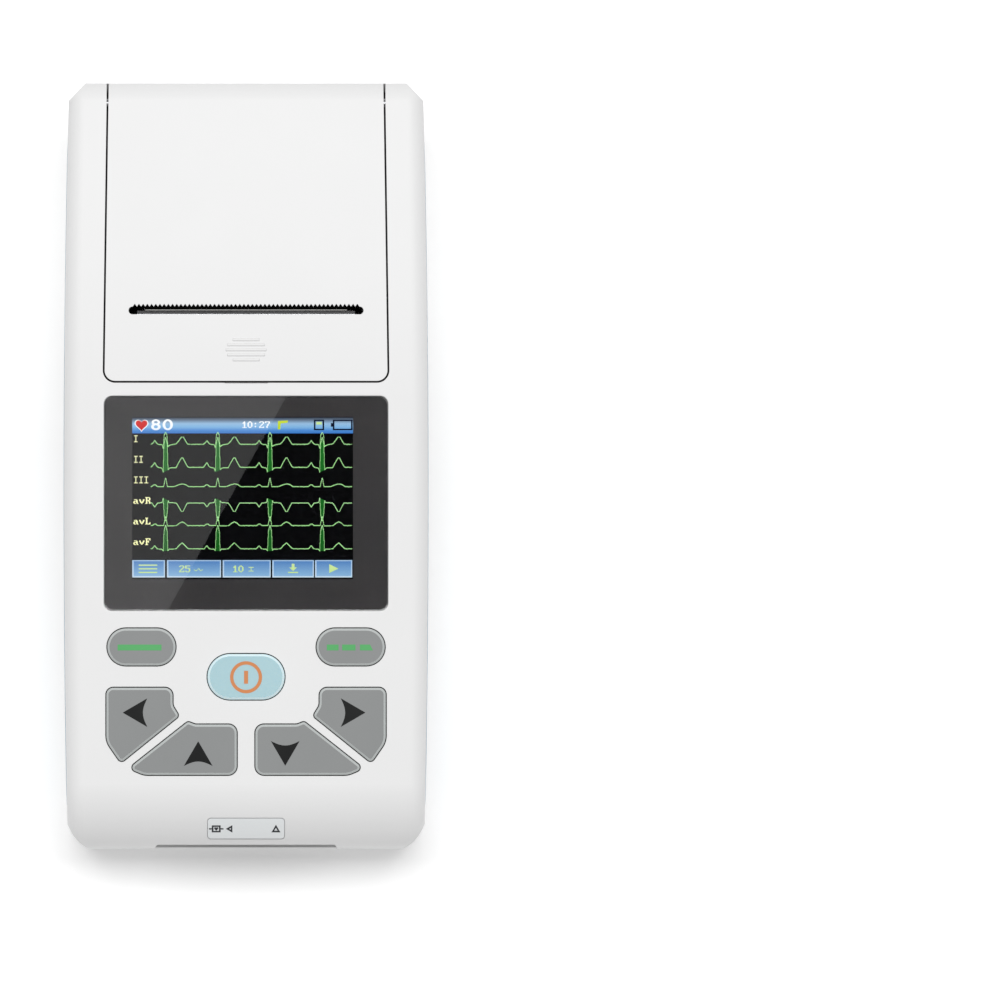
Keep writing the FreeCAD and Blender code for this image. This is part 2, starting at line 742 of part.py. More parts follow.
def top_case():
    """Upper shell with its face openings, connector recess, screw bosses and hinge ears."""
    shell = cut("case_shell", outer, [inner])
    upper = common("top_shell", [shell, box("above_seam", (-FAR, -10.0, SEAM), (FAR, 220.0, 20.0))])
    window_half = size("window_width") / 2 + 0.15
    window_low = size("window_y") - size("window_height") / 2 - 0.15
    window_high = size("window_y") + size("window_height") / 2 + 0.15
    window_seat = prism("window_seat", "XY", -size("window_thick") - 0.05,
                        rectangle(-window_half, window_low, window_half, window_high, 2.1), 5.0)
    lcd_opening = prism("lcd_opening", "XY", -5.0, rectangle(-31.0, 63.6, 29.5, 109.4, 1.0), 8.0)
    inlet = box("case_inlet", (-60.0, 97.9, -26.6), (-41.0, 107.1, -15.4))
    notch_low = size("door_front") - size("door_gap") - 0.2
    finger = box("finger_notch", (-5.3, notch_low, -1.6), (5.3, notch_low + 1.6, 3.0))
    label_seat = label_shell("label_seat", 0.1, 16.0 - 0.55, 18.0)
    cuts = [window_seat, lcd_opening, inlet, finger, label_seat, door_opening, left_seat, right_seat]
    opened = cut("top_opened", upper, cuts + key_openings)

    half = size("recess_half_width")
    surround = common("recess_surround", [outer, box("recess_block", (-half - 1.9, -1.0, SEAM),
                                                     (half + 1.9, size("recess_back") + 2.0, -8.4))])
    additions = [surround]
    for number, (x, y) in enumerate(CASE_SCREWS):
        top = -6.0 if y < 20 else -1.4
        additions.append(rod(f"case_boss_{number}", "XY", (x, y), SEAM, 3.0, top - SEAM))
    for number, (x, y) in enumerate(KEY_BOARD_SCREWS):
        additions.append(rod(f"board_boss_{number}", "XY", (x, y), -size("key_board_top"), 2.3,
                             size("key_board_top") - 1.4))
    for sign in (-1, 1):
        low_x = EAR_INNER if sign > 0 else -EAR_OUTER
        ear = box(f"ear_block_{sign}", (low_x, 180.5, -17.0), (low_x + EAR_OUTER - EAR_INNER, 189.0, -1.0))
        additions.append(common(f"hinge_ear_{sign}", [outer, ear]))
    whole = fuse("top_whole", [opened, *additions])

    recess_edges = rectangle(-half, -size("recess_bottom"), half, -size("recess_top"), 1.8)
    recess = prism("recess", "XZ", -2.0, recess_edges, "Sizes.recess_back + 2")
    mouth_corners = [(-half - 3.0, -3.0), (half + 3.0, -3.0), (half - 0.5, 2.6, 3.0), (-half + 0.5, 2.6, 3.0)]
    mouth = common("recess_mouth", [
        prism("mouth_plan", "XY", -size("recess_bottom"), corners(mouth_corners), 40.0),
        box("mouth_height", (-FAR, -5.0, -size("recess_bottom")), (FAR, 10.0, -size("recess_top"))),
    ])
    socket_hole = prism("socket_hole", "XZ", 0.0, d_shape(12.9, 5.8, 1.5), 14.0)
    drills = [recess, mouth, socket_hole]
    for sign in (-1, 1):
        spot = (sign * size("jackscrew_pitch") / 2, CONNECTOR_Z)
        drills.append(rod(f"jackscrew_hole_{sign}", "XZ", spot, 0.0, 1.6, 14.0))
    for number, (x, y) in enumerate(CASE_SCREWS):
        drills.append(rod(f"case_pilot_{number}", "XY", (x, y), SEAM - 1.0, 1.25, 13.0))
    for number, (x, y) in enumerate(KEY_BOARD_SCREWS):
        drills.append(rod(f"board_pilot_{number}", "XY", (x, y), -size("key_board_top") - 1.0, 1.0, 5.2))
    drills.append(rod("ear_bore", "YZ", (HINGE_Y, HINGE_Z), -EAR_OUTER + 0.5,
                      "Sizes.hinge_pin_radius", 2 * (EAR_OUTER - 0.5)))
    node("top_case", cut("top_case", whole, drills))


def d_shape(half, tall_half, radius):
    """Corner list of the connector's D form, wide along its top, about the connector's centre."""
    lean = 2 * tall_half * math.tan(math.radians(10.0))
    low, high = CONNECTOR_Z - tall_half, CONNECTOR_Z + tall_half
    return corners([
        (-half + lean, low, radius), (half - lean, low, radius),
        (half, high, radius), (-half, high, radius),
    ])


def label_shell(name, grow, inner_radius, outer_radius):
    """A patch of a shell that follows the rounding above the connector."""
    front = size("front_top_round")
    area = prism(name + "_area", "XY", -16.0,
                 rectangle(-9.5 - grow, 2.6 - grow, 9.5 + grow, 7.7 + grow, 0.8 + grow), 20.0)
    thick = rod(name + "_outer", "YZ", (front, -front), -12.0, outer_radius, 24.0)
    hollow = rod(name + "_inner", "YZ", (front, -front), -13.0, inner_radius, 26.0)
    return cut(name, common(name + "_patch", [area, thick]), [hollow])


top_case()
node("label_plate", label_shell("label_plate", 0.0, 16.0 - 0.5, 16.0 + 0.12))

# ---------------------------------------------------------------- bottom case

BATTERY_X, BATTERY_Y0, BATTERY_Y1 = 20.4, 24.4, 91.1
COVER_X, COVER_Y0, COVER_Y1 = 26.0, 22.6, 92.8
COVER_SCREWS = [(-23.3, 57.5), (23.3, 57.5)]
PRINTER_SCREWS = [(-24.0, 121.8), (24.0, 121.8), (-24.0, 134.2), (24.0, 134.2)]
FRAME_BASE = -32.5
BOTTOM = -size("front_depth")
ROLL = (size("roll_y"), -size("roll_depth"))


def bottom_case():
    """Lower shell: a flat tray with the battery bay, then the belly that holds the paper."""
    rim = SEAM - size("seam_gap")
    lower = common("bottom_shell", [cut("case_shell_low", outer, [inner]),
                                    box("below_seam", (-FAR, -10.0, -90.0), (FAR, 220.0, rim))])
    bay_wall = 1.5
    bay = box("battery_bay", (-BATTERY_X - bay_wall, BATTERY_Y0 - bay_wall, BOTTOM + 1.4),
              (BATTERY_X + bay_wall, BATTERY_Y1 + bay_wall, -16.7))
    additions = [bay]
    for number, (x, y) in enumerate(COVER_SCREWS):
        additions.append(rod(f"cover_boss_{number}", "XY", (x, y), BOTTOM + 1.4, 2.3, 7.0))
    for number, (x, y) in enumerate(PRINTER_SCREWS):
        post = rod(f"printer_post_{number}", "XY", (x, y), -80.0, 2.5, 80.0 + FRAME_BASE)
        additions.append(common(f"printer_post_foot_{number}", [outer, post]))
    ribs = []
    for sign in (-1, 1):
        low_x = 19.0 if sign > 0 else -20.6
        ribs.append(box(f"saddle_block_{sign}", (low_x, 148.0, -80.0), (low_x + 1.6, 176.0, -50.0)))
    cradle = rod("saddle_hollow", "YZ", ROLL, -FAR, "Sizes.trough_radius + Sizes.trough_thick + 0.05",
                 2 * FAR)
    saddle = cut("saddles", common("saddle_ribs", [outer, fuse("saddle_blocks", ribs)]), [cradle])
    whole = fuse("bottom_whole", [lower, *additions, saddle])

    gap = 0.25
    seat_edges = rectangle(-COVER_X - gap, COVER_Y0 - gap, COVER_X + gap, COVER_Y1 + gap, 2.25)
    cover_seat = prism("cover_seat", "XY", BOTTOM - 3.0, seat_edges, 4.4)
    bay_space = prism("battery_space", "XY", BOTTOM - 3.0,
                      rectangle(-BATTERY_X, BATTERY_Y0, BATTERY_X, BATTERY_Y1, 1.0), 3.0 - BOTTOM - 17.7)
    drills = [cover_seat, bay_space]
    for number, (x, y) in enumerate(CASE_SCREWS):
        drills.append(rod(f"case_hole_{number}", "XY", (x, y), -45.0, 1.5, 12.0))
        drills.append(rod(f"case_counterbore_{number}", "XY", (x, y), -45.0, 2.55, 45.0 + BOTTOM + 1.2))
    for number, (x, y) in enumerate(COVER_SCREWS):
        drills.append(rod(f"cover_pilot_{number}", "XY", (x, y), -45.0, 0.9, 13.9))
    for number, (x, y) in enumerate(PRINTER_SCREWS):
        drills.append(rod(f"printer_pilot_{number}", "XY", (x, y), FRAME_BASE - 6.5, 1.0, 8.0))
    node("bottom_case", cut("bottom_case", whole, drills))


bottom_case()


def battery_cover():
    cover = prism("cover_plate", "XY", BOTTOM, rectangle(-COVER_X, COVER_Y0, COVER_X, COVER_Y1, 2.0), 1.3)
    drills = []
    for number, (x, y) in enumerate(COVER_SCREWS):
        drills.append(rod(f"cover_hole_{number}", "XY", (x, y), BOTTOM - 1.0, 1.1, 4.0))
        drills.append(rod(f"cover_counterbore_{number}", "XY", (x, y), BOTTOM - 1.0, 1.9, 1.7))
    for number in range(3):
        y = COVER_Y1 - 6.0 - 2.4 * number
        drills.append(rod(f"cover_grip_{number}", "YZ", (y, BOTTOM - 0.3), -7.0, 0.7, 14.0))
    node("battery_cover", cut("battery_cover", cover, drills))


battery_cover()


def battery_cells():
    """Two round cells side by side, each with its raised contact."""
    cells = []
    start = (BATTERY_Y0 + BATTERY_Y1 - size("cell_length")) / 2
    for sign in (-1, 1):
        spot = (sign * (size("cell_radius") + 0.3), -27.2)
        can = rod(f"cell_{sign}", "XZ", spot, start, "Sizes.cell_radius", "Sizes.cell_length - 1")
        tip = rod(f"cell_tip_{sign}", "XZ", spot, start + 10.0, 2.8, "Sizes.cell_length - 10")
        cells.append(fuse(f"cell_whole_{sign}", [can, tip]))
    node("battery_cells", group("battery_cells", cells))


battery_cells()

# ---------------------------------------------------------------- screws


def screw(name, spot, under_head, head_radius, head_height, shank_radius, shank_length, upwards):
    """Pan-head screw with a cross recess. `upwards` is the direction of its tip along z."""
    x, y = spot
    way = 1 if upwards else -1
    head_low = under_head - head_height if upwards else under_head
    head = rod(name + "_head", "XY", spot, head_low, head_radius, head_height)
    shank_low = under_head if upwards else under_head - shank_length
    shank = rod(name + "_shank", "XY", spot, shank_low, shank_radius, shank_length)
    depth = head_height * 0.6
    arm = head_radius * 0.62
    half = head_radius * 0.13
    face = under_head - way * head_height
    low, high = sorted((face - way * 0.5, face + way * depth))
    slots = [box(name + "_slot_a", (x - arm, y - half, low), (x + arm, y + half, high)),
             box(name + "_slot_b", (x - half, y - arm, low), (x + half, y + arm, high))]
    return cut(name, fuse(name + "_blank", [head, shank]), slots)


def screws(label, spots, *form):
    node(label, group(label, [screw(f"{label}_{i}", spot, *form) for i, spot in enumerate(spots)]))


screws("case_screws", CASE_SCREWS, BOTTOM + 1.2, 2.25, 1.1, 1.25, 10.0, True)
screws("battery_cover_screws", COVER_SCREWS, BOTTOM + 0.7, 1.7, 0.65, 0.9, 7.0, True)
screws("printer_screws", PRINTER_SCREWS, FRAME_BASE + 1.5, 1.9, 1.2, 1.0, 6.5, False)
screws("board_screws", KEY_BOARD_SCREWS, -size("key_board_top") - size("board_thick"), 2.0, 1.2, 1.0, 5.4,
       True)

# ---------------------------------------------------------------- display

node("display_window", round_edges(
    "display_window",
    prism("window_blank", "XY", -size("window_thick"),
          rectangle(-size("window_width") / 2, size("window_y") - size("window_height") / 2,
                    size("window_width") / 2, size("window_y") + size("window_height") / 2,
                    size("window_round")), "Sizes.window_thick"),
    0.2, lambda edge: edge.BoundBox.ZMin > -0.01, "Part::Chamfer"))

LCD_CENTRE = (size("lcd_x"), size("lcd_y"))
LCD_LOW = -size("lcd_top") - size("lcd_thick")
node("lcd_panel", plate("lcd_panel", "XY", LCD_CENTRE, LCD_LOW, "Sizes.lcd_width", "Sizes.lcd_height",
                        "Sizes.lcd_thick"))
node("lcd_backlight", plate("lcd_backlight", "XY", LCD_CENTRE, LCD_LOW - 1.6, "Sizes.lcd_width",
                            "Sizes.lcd_height", 1.5))


def lcd_carrier():
    """Moulded tray that holds the panel and backlight and stands on the main board with four legs."""
    x, y = LCD_CENTRE
    half_x, half_y = size("lcd_width") / 2, size("lcd_height") / 2
    floor = LCD_LOW - 1.7
    block = prism("carrier_block", "XY", floor - 1.4,
                  rectangle(x - half_x - 1.6, y - half_y - 1.6, x + half_x + 1.6, y + half_y + 1.6, 1.5),
                  -2.5 - floor + 1.4)
    pocket = box("carrier_pocket", (x - half_x - 0.15, y - half_y - 0.15, floor),
                 (x + half_x + 0.15, y + half_y + 0.15, 5.0))
    legs = []
    board = -size("main_board_top")
    for sign_x in (-1, 1):
        for sign_y in (-1, 1):
            spot = (x + sign_x * (half_x - 2.5), y + sign_y * (half_y - 2.5))
            legs.append(rod(f"carrier_leg_{sign_x}_{sign_y}", "XY", spot, board, 1.8, floor - 1.0 - board))
    lightening = box("carrier_window", (x - 22.0, y - 15.0, floor - 5.0), (x + 22.0, y + 15.0, floor + 1.0))
    node("lcd_carrier", cut("lcd_carrier", fuse("carrier_whole", [block, *legs]), [pocket, lightening]))


lcd_carrier()


def lcd_flex():
    """Flat cable from under the carrier, round its edge and down to the main board."""
    thick = 0.2
    top = LCD_LOW - 1.7 - 1.4 - 0.15
    low = -size("main_board_top")
    front = LCD_CENTRE[1] - size("lcd_height") / 2 - 3.2
    outline = corners([(front, low), (front + thick, low), (front + thick, top - thick, 0.6),
                       (front + 12.0, top - thick), (front + 12.0, top), (front, top, 0.8)])
    node("lcd_flex", prism("lcd_flex", "YZ", -12.0, outline, 24.0))


lcd_flex()

# ---------------------------------------------------------------- boards and key contacts

KEY_BOARD_LOW = -size("key_board_top") - size("board_thick")
MAIN_BOARD_LOW = -size("main_board_top") - size("board_thick")
node("key_board", plate("key_board", "XY", (0.0, 34.75), KEY_BOARD_LOW, 82.0, 45.5, "Sizes.board_thick",
                        [(x, y, 1.1) for x, y in KEY_BOARD_SCREWS]))
node("main_board", plate("main_board", "XY", (0.0, 62.5), MAIN_BOARD_LOW, 69.0, 97.0, "Sizes.board_thick",
                         [(x, y, 1.0) for x, y in SPACERS]))
node("keypad_mat", plate("keypad_mat", "XY", (0.0, 36.75), -size("key_board_top") + 0.05, 71.4, 40.5, 0.6,
                         [(x, y, 3.1) for x, y in KEY_CENTRES]))


def dome_contacts():
    domes = []
    for number, (x, y) in enumerate(KEY_CENTRES):
        dome = doc.addObject("Part::Cone", f"dome_{number}")
        dome.Radius1, dome.Radius2, dome.Height = 2.5, 1.5, 0.35
        dome.Placement.Base = Vector(x, y, -size("key_board_top"))
        domes.append(dome)
    node("dome_contacts", group("dome_contacts", domes))


def board_spacers():
    spacers = []
    for number, (x, y) in enumerate(SPACERS):
        post = doc.addObject("Part::Prism", f"spacer_{number}")
        post.Polygon = 6
        post.Circumradius = 2.4
        post.Height = KEY_BOARD_LOW + size("main_board_top")
        post.Placement.Base = Vector(x, y, -size("main_board_top"))
        spacers.append(post)
    node("board_spacers", group("board_spacers", spacers))


dome_contacts()
board_spacers()
node("buzzer", bar("buzzer", "XY", (29.2, 36.0), MAIN_BOARD_LOW - 4.2, 5.3, 4.2))

# ---------------------------------------------------------------- DC inlet


def dc_jack():
    """Inlet body with its round socket and centre pin, soldered under the main board."""
    face, back = -43.3, -30.0
    body = box("jack_block", (face, JACK_Y - 4.4, -25.9), (back, JACK_Y + 4.4, MAIN_BOARD_LOW - 0.1))
    socket = rod("jack_socket", "YZ", (JACK_Y, JACK_Z), face - 1.0, 3.2, 10.5)
    pin_hole = rod("jack_pin_hole", "YZ", (JACK_Y, JACK_Z), face + 1.0, 1.0, 10.9)
    node("dc_jack_body", cut("dc_jack_body", body, [socket, pin_hole]))
    pin = rod("jack_pin_blank", "YZ", (JACK_Y, JACK_Z), face + 0.7, 1.0, 11.0)
    node("dc_jack_pin", round_edges("dc_jack_pin", pin, 0.5, lambda edge: edge.BoundBox.XMax < face + 0.8))


dc_jack()

# ---------------------------------------------------------------- patient connector


def connector():
    """Female 15-way connector: pressed shells, insulator with two rows of holes, contacts and jackscrews."""
    flange_front, flange_back = 7.1, size("recess_back") - 0.4
    mouth = 1.5
    shell_half, shell_tall = 12.4, 4.1
    flange_edges = rectangle(-19.6, CONNECTOR_Z - 6.25, 19.6, CONNECTOR_Z + 6.25, 1.6)
    screw_x = size("jackscrew_pitch") / 2

    flange = prism("front_flange", "XZ", flange_front, flange_edges, flange_back - flange_front)
    rim = prism("front_rim", "XZ", mouth, d_shape(shell_half, shell_tall, 2.4), flange_front - mouth + 0.2)
    hollow = prism("front_hollow", "XZ", 0.0, d_shape(shell_half - 0.4, shell_tall - 0.4, 2.0), 12.0)
    clear = [rod(f"front_screw_hole_{sign}", "XZ", (sign * screw_x, CONNECTOR_Z), 0.0, 1.5, 12.0)
             for sign in (-1, 1)]
    node("connector_front_shell", cut("connector_front_shell", fuse("front_blank", [flange, rim]),
                                      [hollow, *clear]))

    rear_flange = prism("rear_flange", "XZ", flange_back, flange_edges, 0.4)
    skirt = prism("rear_skirt", "XZ", flange_back, d_shape(12.6, 5.5, 1.4), 5.5)
    rear_hollow = prism("rear_hollow", "XZ", 0.0, d_shape(12.2, 5.1, 1.0), 20.0)
    rear_clear = [rod(f"rear_screw_hole_{sign}", "XZ", (sign * screw_x, CONNECTOR_Z), 0.0, 1.5, 20.0)
                  for sign in (-1, 1)]
    node("connector_rear_shell", cut("connector_rear_shell", fuse("rear_blank", [rear_flange, skirt]),
                                     [rear_hollow, *rear_clear]))

    front_block = prism("insulator_front", "XZ", mouth + 0.25,
                        d_shape(shell_half - 0.45, shell_tall - 0.45, 1.95), flange_back - mouth - 0.25)
    back_block = prism("insulator_back", "XZ", flange_back, d_shape(12.1, 5.0, 0.9), 6.0)
    pitch, row_half = 2.77, 1.42
    spots = [((i - 3.5) * pitch, CONNECTOR_Z + row_half) for i in range(8)]
    spots += [((i - 3.0) * pitch, CONNECTOR_Z - row_half) for i in range(7)]
    bores = [rod(f"contact_hole_{i}", "XZ", spot, 0.0, 0.62, 20.0) for i, spot in enumerate(spots)]
    node("connector_insulator", cut("connector_insulator", fuse("insulator_blank", [front_block, back_block]),
                                    bores))
    contacts = []
    for i, spot in enumerate(spots):
        sleeve = rod(f"contact_sleeve_{i}", "XZ", spot, mouth + 0.8, 0.6, 7.0)
        bore = rod(f"contact_bore_{i}", "XZ", spot, 0.0, 0.4, mouth + 6.5)
        tail = rod(f"contact_tail_{i}", "XZ", spot, mouth + 7.0, 0.4, 11.0)
        contacts.append(fuse(f"contact_{i}", [cut(f"contact_tube_{i}", sleeve, [bore]), tail]))
    node("connector_contacts", group("connector_contacts", contacts))

    screws_and_nuts = []
    for sign in (-1, 1):
        spot = (sign * screw_x, CONNECTOR_Z)
        across = 2.35
        reach = across / math.cos(math.pi / 6)
        hexagon = [(spot[0] + reach * math.cos(math.radians(60 * k)),
                    spot[1] + reach * math.sin(math.radians(60 * k))) for k in range(6)]
        head = prism(f"jackscrew_head_{sign}", "XZ", 2.3, corners(hexagon), flange_front - 2.3)
        tail = rod(f"jackscrew_tail_{sign}", "XZ", spot, flange_front, 1.4, 7.0)
        thread = rod(f"jackscrew_thread_{sign}", "XZ", spot, 0.0, 1.1, 7.3)
        blank = fuse(f"jackscrew_blank_{sign}", [head, tail])
        screws_and_nuts.append(cut(f"jackscrew_{sign}", blank, [thread]))
        nut = prism(f"jack_nut_{sign}", "XZ", size("recess_back") + 2.0, corners(hexagon), 2.0)
        nut_bore = rod(f"jack_nut_bore_{sign}", "XZ", spot, 5.0, 1.4, 15.0)
        screws_and_nuts.append(cut(f"jack_nut_cut_{sign}", nut, [nut_bore]))
    node("connector_jackscrews", group("connector_jackscrews", screws_and_nuts))


connector()

# ---------------------------------------------------------------- printer


def frame_outline():
    """Side plate of the printer, with the notch that takes the platen shaft from above."""
    y, z = PLATEN
    notch = size("platen_shaft_radius") + 0.4
    low, high = -31.2, -4.3
    return corners([
        (118.5, low), (137.0, low), (146.0, -20.5, 2.0), (146.0, high, 1.0), (y + notch + 0.6, high),
        (y + notch + 0.2, z - notch, 2.3), (y - notch, z - notch, 2.3), (y - notch, high), (118.5, high, 1.5),
    ])


IDLER = (136.7, -17.17)
MOTOR = (128.4, -22.75)


def printer_frame():
    """Two side plates, a cross wall behind the head springs and a base that is screwed to the case."""
    inner_x, thick = size("plate_inner"), size("plate_thick")
    plates = []
    for sign in (-1, 1):
        start = inner_x if sign > 0 else -inner_x - thick
        plates.append(prism(f"side_plate_{sign}", "YZ", start, frame_outline(), "Sizes.plate_thick"))
    reach = inner_x + thick / 2
    wall = box("cross_wall", (-reach, 123.4, -14.2), (reach, 124.9, -5.0))
    base = box("frame_base", (-reach, 118.5, FRAME_BASE), (reach, 137.0, FRAME_BASE + 1.5))
    drills = [rod(f"frame_hole_{i}", "XY", spot, FRAME_BASE - 1.0, 1.2, 4.0)
              for i, spot in enumerate(PRINTER_SCREWS)]
    drills.append(rod("frame_idler_hole", "YZ", IDLER, inner_x - 1.0, 1.0, 4.0))
    drills.append(rod("frame_motor_hole", "YZ", MOTOR, inner_x - 1.0, 2.6, 4.0))
    node("printer_frame", cut("printer_frame", fuse("frame_whole", [*plates, wall, base]), drills))


printer_frame()

HEAD_FACE = 133.5
node("thermal_head", plate("thermal_head", "XZ", (0.0, -9.3), HEAD_FACE - 0.8, 54.0, 9.4, 0.8))


def heat_sink():
    """Finned bar behind the head."""
    bar_block = box("sink_bar", (-27.0, HEAD_FACE - 2.4, -14.2), (27.0, HEAD_FACE - 0.8, -4.2))
    fins = [box(f"sink_fin_{i}", (-27.0, HEAD_FACE - 4.1, -13.9 + 2.2 * i),
                (27.0, HEAD_FACE - 2.3, -13.0 + 2.2 * i))
            for i in range(5)]
    node("heat_sink", fuse("heat_sink", [bar_block, *fins]))


heat_sink()


def head_springs():
    """Two compression springs between the cross wall and the heat sink, as round wire coils."""
    springs = []
    start, end = 124.95, HEAD_FACE - 4.15
    wire = 0.28
    turns = 4
    for sign in (-1, 1):
        helix = doc.addObject("Part::Helix", f"spring_helix_{sign}")
        helix.Radius = 2.0
        helix.Pitch = (end - start - 2 * wire) / turns
        helix.Height = end - start - 2 * wire
        centre = Vector(sign * 15.0, start + wire, -9.4)
        helix.Placement = Placement(centre, Rotation(Vector(1, 0, 0), -90))
        section = doc.addObject("Part::Circle", f"spring_section_{sign}")
        section.Radius = wire
        section.Placement = Placement(centre + Vector(2.0, 0, 0), Rotation())
        coil = doc.addObject("Part::Sweep", f"spring_{sign}")
        coil.Sections = [section]
        coil.Spine = (helix, [])
        coil.Solid = True
        coil.Frenet = True
        springs.append(coil)
    node("head_springs", group("head_springs", springs))


head_springs()


def gear_edges(teeth, centre):
    """Straight-flanked teeth, cut a little thin so that a pair runs with play."""
    module = size("gear_module")
    pitch = module * teeth / 2
    tip, root = pitch + 0.8 * module, pitch - 1.15 * module
    step = 2 * math.pi / teeth
    flank = [(root, -0.36), (pitch, -0.21), (tip, -0.09), (tip, 0.09), (pitch, 0.21), (root, 0.36)]
    spots = []
    for i in range(teeth):
        middle = i * step
        for radius, share in flank:
            angle = middle + share * step
            spots.append((centre[0] + radius * math.cos(angle), centre[1] + radius * math.sin(angle)))
    return spots


def turned(spots, centre, angle):
    """Points turned about a centre, anticlockwise seen against x."""
    c, s = math.cos(angle), math.sin(angle)
    result = []
    for u, v in spots:
        du, dv = u - centre[0], v - centre[1]
        result.append((centre[0] + c * du - s * dv, centre[1] + s * du + c * dv))
    return result


def closed_lines(spots):
    points = [Vector(u, v, 0) for u, v in spots]
    return [Part.LineSegment(a, b) for a, b in zip(points, points[1:] + points[:1])]


def gear(name, teeth, centre, phase, level, length):
    """A spur gear on an axis along x."""
    return prism(name, "YZ", level, closed_lines(turned(gear_edges(teeth, centre), centre, phase)), length)


def direction(start, end):
    return math.atan2(end[1] - start[1], end[0] - start[0])


def phase_in_mesh(teeth, towards):
    """Phase that puts a gap of the gear in the given direction."""
    return towards + math.pi / teeth


def gear_train():
    """Motor pinion, two-step idler and platen gear, all beside the right side plate."""
    bore = size("running_gap")
    gear_side = size("plate_inner") + size("plate_thick") + 0.6
    shaft = size("platen_shaft_radius")
    platen_gear = gear("platen_gear_blank", int(size("platen_teeth")), PLATEN, direction(PLATEN, IDLER),
                       gear_side, 1.4)
    node("platen_gear", cut("platen_gear", platen_gear,
                            [rod("platen_gear_bore", "YZ", PLATEN, 0.0, "Sizes.platen_shaft_radius", FAR)]))
    small = gear("idler_small", int(size("idler_small_teeth")), IDLER,
                 phase_in_mesh(size("idler_small_teeth"), direction(IDLER, PLATEN)), gear_side - 0.1, 1.7)
    big = gear("idler_big", int(size("idler_big_teeth")), IDLER, direction(IDLER, MOTOR),
               gear_side + 1.6, 1.2)
    idler_bore = rod("idler_bore", "YZ", IDLER, 0.0, 1.0 + bore, FAR)
    node("idler_gear", cut("idler_gear", fuse("idler_blank", [small, big]), [idler_bore]))
    node("idler_pin", bar("idler_pin", "YZ", IDLER, size("plate_inner"), 1.0, 5.6))
    pinion = gear("pinion_blank", int(size("pinion_teeth")), MOTOR,
                  phase_in_mesh(size("pinion_teeth"), direction(MOTOR, IDLER)), gear_side + 1.5, 1.4)
    spindle = rod("motor_spindle", "YZ", MOTOR, size("plate_inner") - 1.5, 1.0, 6.6)
    node("motor_pinion", fuse("motor_pinion", [pinion, spindle]))
    node("platen_shaft", bar("platen_shaft", "YZ", PLATEN, -size("plate_inner") - 2.2,
                             "Sizes.platen_shaft_radius", 2 * size("plate_inner") + 2.2 + 3.5))
    roller = bar("roller_blank", "YZ", PLATEN, -26.4, "Sizes.platen_radius", 52.8)
    node("platen_roller", cut("platen_roller", roller,
                              [rod("roller_bore", "YZ", PLATEN, -FAR, "Sizes.platen_shaft_radius", 2 * FAR)]))
    bushes = []
    for sign in (-1, 1):
        start = LUG_INNER if sign > 0 else -LUG_OUTER
        blank = rod(f"bush_blank_{sign}", "YZ", PLATEN, start, BUSH_RADIUS, LUG_OUTER - LUG_INNER)
        inside = rod(f"bush_bore_{sign}", "YZ", PLATEN, start - 1.0, shaft + bore, 6.0)
        bushes.append(cut(f"bush_{sign}", blank, [inside]))
    node("platen_bushings", group("platen_bushings", bushes))


gear_train()


def stepper_motor():
    """Can with a flange, bolted inside the right side plate, open round its spindle."""
    end = size("plate_inner")
    can = rod("motor_can", "YZ", MOTOR, end - 15.0, 7.4, 14.2)
    flange_edges = rectangle(MOTOR[0] - 9.0, MOTOR[1] - 3.0, MOTOR[0] + 9.0, MOTOR[1] + 3.0, 2.5)
    flange = prism("motor_flange", "YZ", end - 0.8, flange_edges, 0.8)
    opening = rod("motor_opening", "YZ", MOTOR, end - 1.6, 1.2, 3.0)
    node("stepper_motor", cut("stepper_motor", fuse("motor_whole", [can, flange]), [opening]))


stepper_motor()

# ---------------------------------------------------------------- paper


